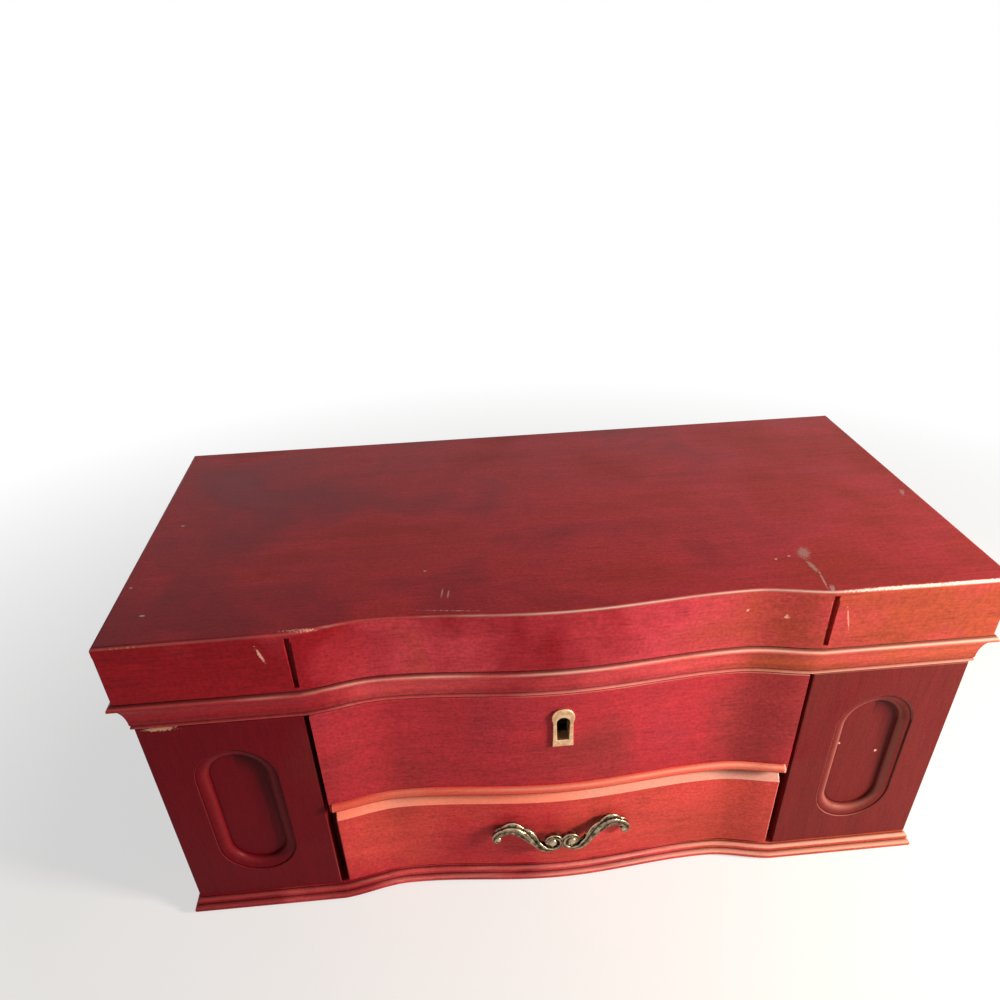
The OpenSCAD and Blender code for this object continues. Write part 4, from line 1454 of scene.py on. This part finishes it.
@dataclass
class Drawer:
    """The drawer: serpentine front with a broad bevel, rubbed pale under a painted highlight, box
    and lining.
    """

    half: float = 116.2
    bevel: float = 6.0
    crown: float = 0.9

    def front(self) -> None:
        """The front board, with a slightly crowned bevel along its top."""
        low, high = Frame.box("drawer_front")
        face = Frame.box("front_rail")[0].y - DRAWER_INSET
        rows = [(-1.0, low.z, 0.2), (-0.3, low.z + 0.3, 0.3), (0.0, low.z + 1.0, 0.0)]
        rows.append((0.0, high.z - self.bevel - 0.35, 0.0))
        for i in range(11):
            t = i / 10
            bulge = self.crown * sin(pi * t)
            z = high.z - self.bevel * (1 - t) + bulge * 0.35 * (1 - t)
            rows.append((-self.bevel * t * 0.93 + bulge * 0.7, z, 0.0))
        rows.append((-self.bevel, high.z, 0.0))
        shades = [*((row[2], 0.0) for row in rows), (0.0, 0.0), (0.0, 0.0)]
        bm = bay_piece(self.half, high.y, face, [row[:2] for row in rows], shades)
        ends = corner_edges(
            bm, lambda mid, run: abs(mid.x) > self.half - 0.1 and mid.y < high.y - 1
        )
        soften(bm, ends, 0.6, 4, 0.9)
        # Faces that look up take the bevel's finish: rubbed pale wood under a painted highlight.
        publish(
            bm, "drawer_front_curved", DRAWER_WOOD, "drawer", ["drawer_front"],
            trim=BEVEL_RUBBED_AND_HIGHLIT, trimmed=lambda face: face.normal.z > 0.3 and face.normal.y < -0.1,
        )

    def build(self) -> None:
        """Builds the drawer."""
        self.front()
        ScrollPull().build()
        for node in ("drawer_side_left", "drawer_side_right", "drawer_back", "drawer_bottom"):
            board(node, BEECH if "side" in node else BEECH_ACROSS, "drawer")
        lined("drawer_lining", "drawer")


@dataclass
class Carcase:
    """The plain boards of the chest, its linings, ring rolls and felt pads."""

    boards: tuple[tuple[str, Finish, str], ...] = (
        ("side_board_left", SIDE_WOOD, "stained_wood"),
        ("side_board_right", SIDE_WOOD, "stained_wood"),
        ("back_board", BACK_WOOD, "stained_dark"),
        ("partition_left", SIDE_WOOD, "stained_dark"),
        ("partition_right", SIDE_WOOD, "stained_dark"),
        ("well_floor", BEECH_ACROSS, "raw_wood"),
        ("shelf_left", BEECH, "raw_wood"),
        ("shelf_right", BEECH, "raw_wood"),
    )
    linings: tuple[str, ...] = (
        "well_lining", "tray_lining_right", "necklace_lining_left", "necklace_lining_right"
    )
    rolls: int = 13
    roll_sides: int = 24
    roll_steps: int = 16
    pad_radius: float = 9.0

    def ring_rolls(self) -> None:
        """Thirteen stuffed rolls on a padded board, for rings to stand between."""
        low, high = Frame.box("ring_rolls")
        pitch = (high.y - low.y) / self.rolls
        radius = pitch * 0.48
        bm = block(low, (high.x, high.y, low.z + 3.7))
        soften(bm, bm.edges[:], 0.5, 2, 0.0)
        spokes = [2 * pi * k / self.roll_sides for k in range(self.roll_sides)]
        for i in range(self.rolls):
            y, z = low.y + pitch * (i + 0.5), low.z + radius
            rings = []
            for j in range(self.roll_steps + 1):
                t = 2 * j / self.roll_steps - 1
                r = radius * (1 - 0.22 * abs(t) ** 5)
                x = (low.x + high.x) / 2 + t * (high.x - low.x) / 2
                ring = [Vector((x, y + r * cos(a), z + r * sin(a))) for a in spokes]
                rings.append([Vector((p.x, p.y, max(p.z, low.z + 0.4))) for p in ring])
            join(bm, loft(rings))
        piece = publish(bm, "ring_rolls_velvet", VELVET, "case", ["ring_rolls"], 60)

    def felt_pads(self) -> None:
        """Four cut felt discs under the base."""
        low, high = Frame.box("felt_pads")
        thick, r = high.z - low.z, self.pad_radius
        rows = [(0.0, r - 0.3), (thick * 0.3, r), (thick * 0.8, r), (thick, r - 0.25)]
        discs = [
            rod([((x, y, low.z + rise), radius) for rise, radius in rows], 40)
            for x in (low.x + r, high.x - r)
            for y in (low.y + r, high.y - r)
        ]
        piece = publish(join(*discs), "felt_pads_cut", FELT, "case", ["felt_pads"])

    def build(self) -> None:
        """Builds the boards, then what lies on them."""
        for name, finish, slot in self.boards:
            board(name, finish, "case", 0.4)
        for node in self.linings:
            lined(node, "case")
        self.ring_rolls()
        self.felt_pads()


@dataclass
class Stage:
    """Floor, lamps, sky and the camera at the photograph's angle."""

    focal: float = 0.8062
    sensor: float = 36.0
    shift: float = 0.14
    place: tuple[float, float, float] = (-48.1, -282.3, 374.9)
    turn: tuple[float, float, float] = (2.19434055, -0.1157973, 0.01611079)
    ambient: float = 0.14
    aim: tuple[float, float, float] = (0, 0, 0.09)

    def camera(self) -> None:
        """The camera, from its fitted place and rotation vector."""
        data = bpy.data.cameras.new("photo_camera")
        data.sensor_width = self.sensor
        data.lens = self.focal * self.sensor
        data.shift_y = self.shift
        data.clip_start = 0.01
        eye = placed("photo_camera", data)
        spin = Vector(self.turn)
        seen = Matrix.Rotation(spin.length, 3, spin.normalized())
        facing = seen.transposed() @ Matrix.Diagonal((1, -1, -1))
        eye.matrix_world = Matrix.Translation(Frame.metres(self.place)) @ facing.to_4x4()
        bpy.context.scene.camera = eye

    def seen_as_white(self, tree: Tree) -> Socket:
        """Tells the rays that show the background: camera, glossy and transmission rays.

        Args:
            tree: A node tree.

        Returns:
            A socket with 1 for those rays and 0 for the others.
        """
        path = tree.nodes.new("ShaderNodeLightPath").outputs
        first = {0: path["Is Camera Ray"], 1: path["Is Glossy Ray"]}
        both = add_node(tree, "Math", first, operation="MAXIMUM")
        through = {0: both, 1: path["Is Transmission Ray"]}
        return add_node(tree, "Math", through, operation="MAXIMUM")

    def floor(self) -> None:
        """A white sweep that keeps the shadow: it glows for the camera, more so far away."""
        bm = bmesh.new()
        bmesh.ops.create_circle(bm, cap_ends=True, radius=9.0, segments=64)
        mesh = bpy.data.meshes.new("table_top")
        bm.to_mesh(mesh)
        bm.free()
        plane = placed("table_top", mesh)
        material = bpy.data.materials.new("paper_sweep_white")
        material.use_nodes = True
        tree = material.node_tree
        shader = tree.nodes["Principled BSDF"]
        paper = {"Base Color": linear("efeeec"), "Roughness": 0.9, "Specular IOR Level": 0.1}
        wire(tree, shader, paper)
        spot = add_node(tree, "TexCoord", out="Object")
        away = add_node(tree, "VectorMath", {0: spot}, operation="LENGTH")
        painted_light_ramp = add_node(tree, "MapRange", {0: away, 1: 0.30, 2: 0.75, 3: 0.6, 4: 1.0})
        share = add_node(tree, "Math", {0: painted_light_ramp, 1: self.seen_as_white(tree)}, operation="MULTIPLY")
        glow = add_node(tree, "Emission", {"Strength": 1.0})
        mixed = add_node(tree, "MixShader", {0: share, 1: shader.outputs[0], 2: glow})
        wire(tree, tree.nodes["Material Output"], {0: mixed})
        mesh.materials.append(material)

    def lamp(self, name: str, place: Point, size: float, power: float, tint: str) -> None:
        """An area lamp aimed at the chest.

        Args:
            name: The lamp's name.
            place: Where it stands, in metres.
            size: Edge of its square, in metres.
            power: Watts.
            tint: Its colour as sRGB hex digits.
        """
        data = bpy.data.lights.new(name, "AREA")
        data.size, data.energy = size, power
        data.color = linear(tint)[:3]
        light = placed(name, data)
        spot = Vector(place)
        aim = (Vector(self.aim) - spot).to_track_quat("-Z", "Y")
        light.matrix_world = Matrix.Translation(spot) @ aim.to_matrix().to_4x4()
        light.visible_camera = False

    def sky(self) -> None:
        """White to the camera and in reflections, softer as light."""
        world = bpy.data.worlds.new("studio_sky")
        bpy.context.scene.world = world
        world.use_nodes = True
        tree = world.node_tree
        shown = {0: self.seen_as_white(tree), 3: self.ambient, 4: 1.0}
        light = {"Color": linear("ffffff"), "Strength": add_node(tree, "MapRange", shown)}
        wire(tree, tree.nodes["Background"], light)

    def build(self) -> None:
        """Sets the whole stage."""
        self.camera()
        self.floor()
        self.sky()
        self.lamp("key_lamp", (0.62, -0.36, 0.34), 0.16, 9.6, "fff0dd")
        self.lamp("fill_lamp", (-0.2, -0.9, 0.9), 0.9, 0.3, "fff4ea")
        bpy.context.scene.view_settings.view_transform = "Standard"


def dress_hardware(nodes: dict[str, Obj]) -> None:
    """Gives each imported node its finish; the ones that stay are all of metal.

    Args:
        nodes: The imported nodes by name.
    """
    for name, node in nodes.items():
        finish: Finish = ZINC
        if "lining" in name or name in ("ring_rolls", "mirror_board"):
            finish = VELVET
        elif any(word in name for word in ("strike", "hooks", "leaves")):
            finish = BRASS
        elif name == "lock_case":
            # Near-black lock case so that the keyhole shows dark: partly painted shade.
            finish = LOCK_IRON_PAINTED_SHADE
        node.data.materials.clear()
        node.data.materials.append(finish.make())


def main() -> None:
    """Builds the chest and the stage."""
    logging.basicConfig(level=logging.INFO, format="%(message)s")
    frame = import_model()
    Frame.settle()
    Stage().build()
    dress_hardware(frame["nodes"])
    corners = (CornerDoor(Side.LEFT), CornerDoor(Side.RIGHT))
    for part in (Base(), Carcase(), FrontPanel(), Cornice(), Lid(), Drawer(), *corners):
        part.build()


if __name__ == "__main__":
    main()
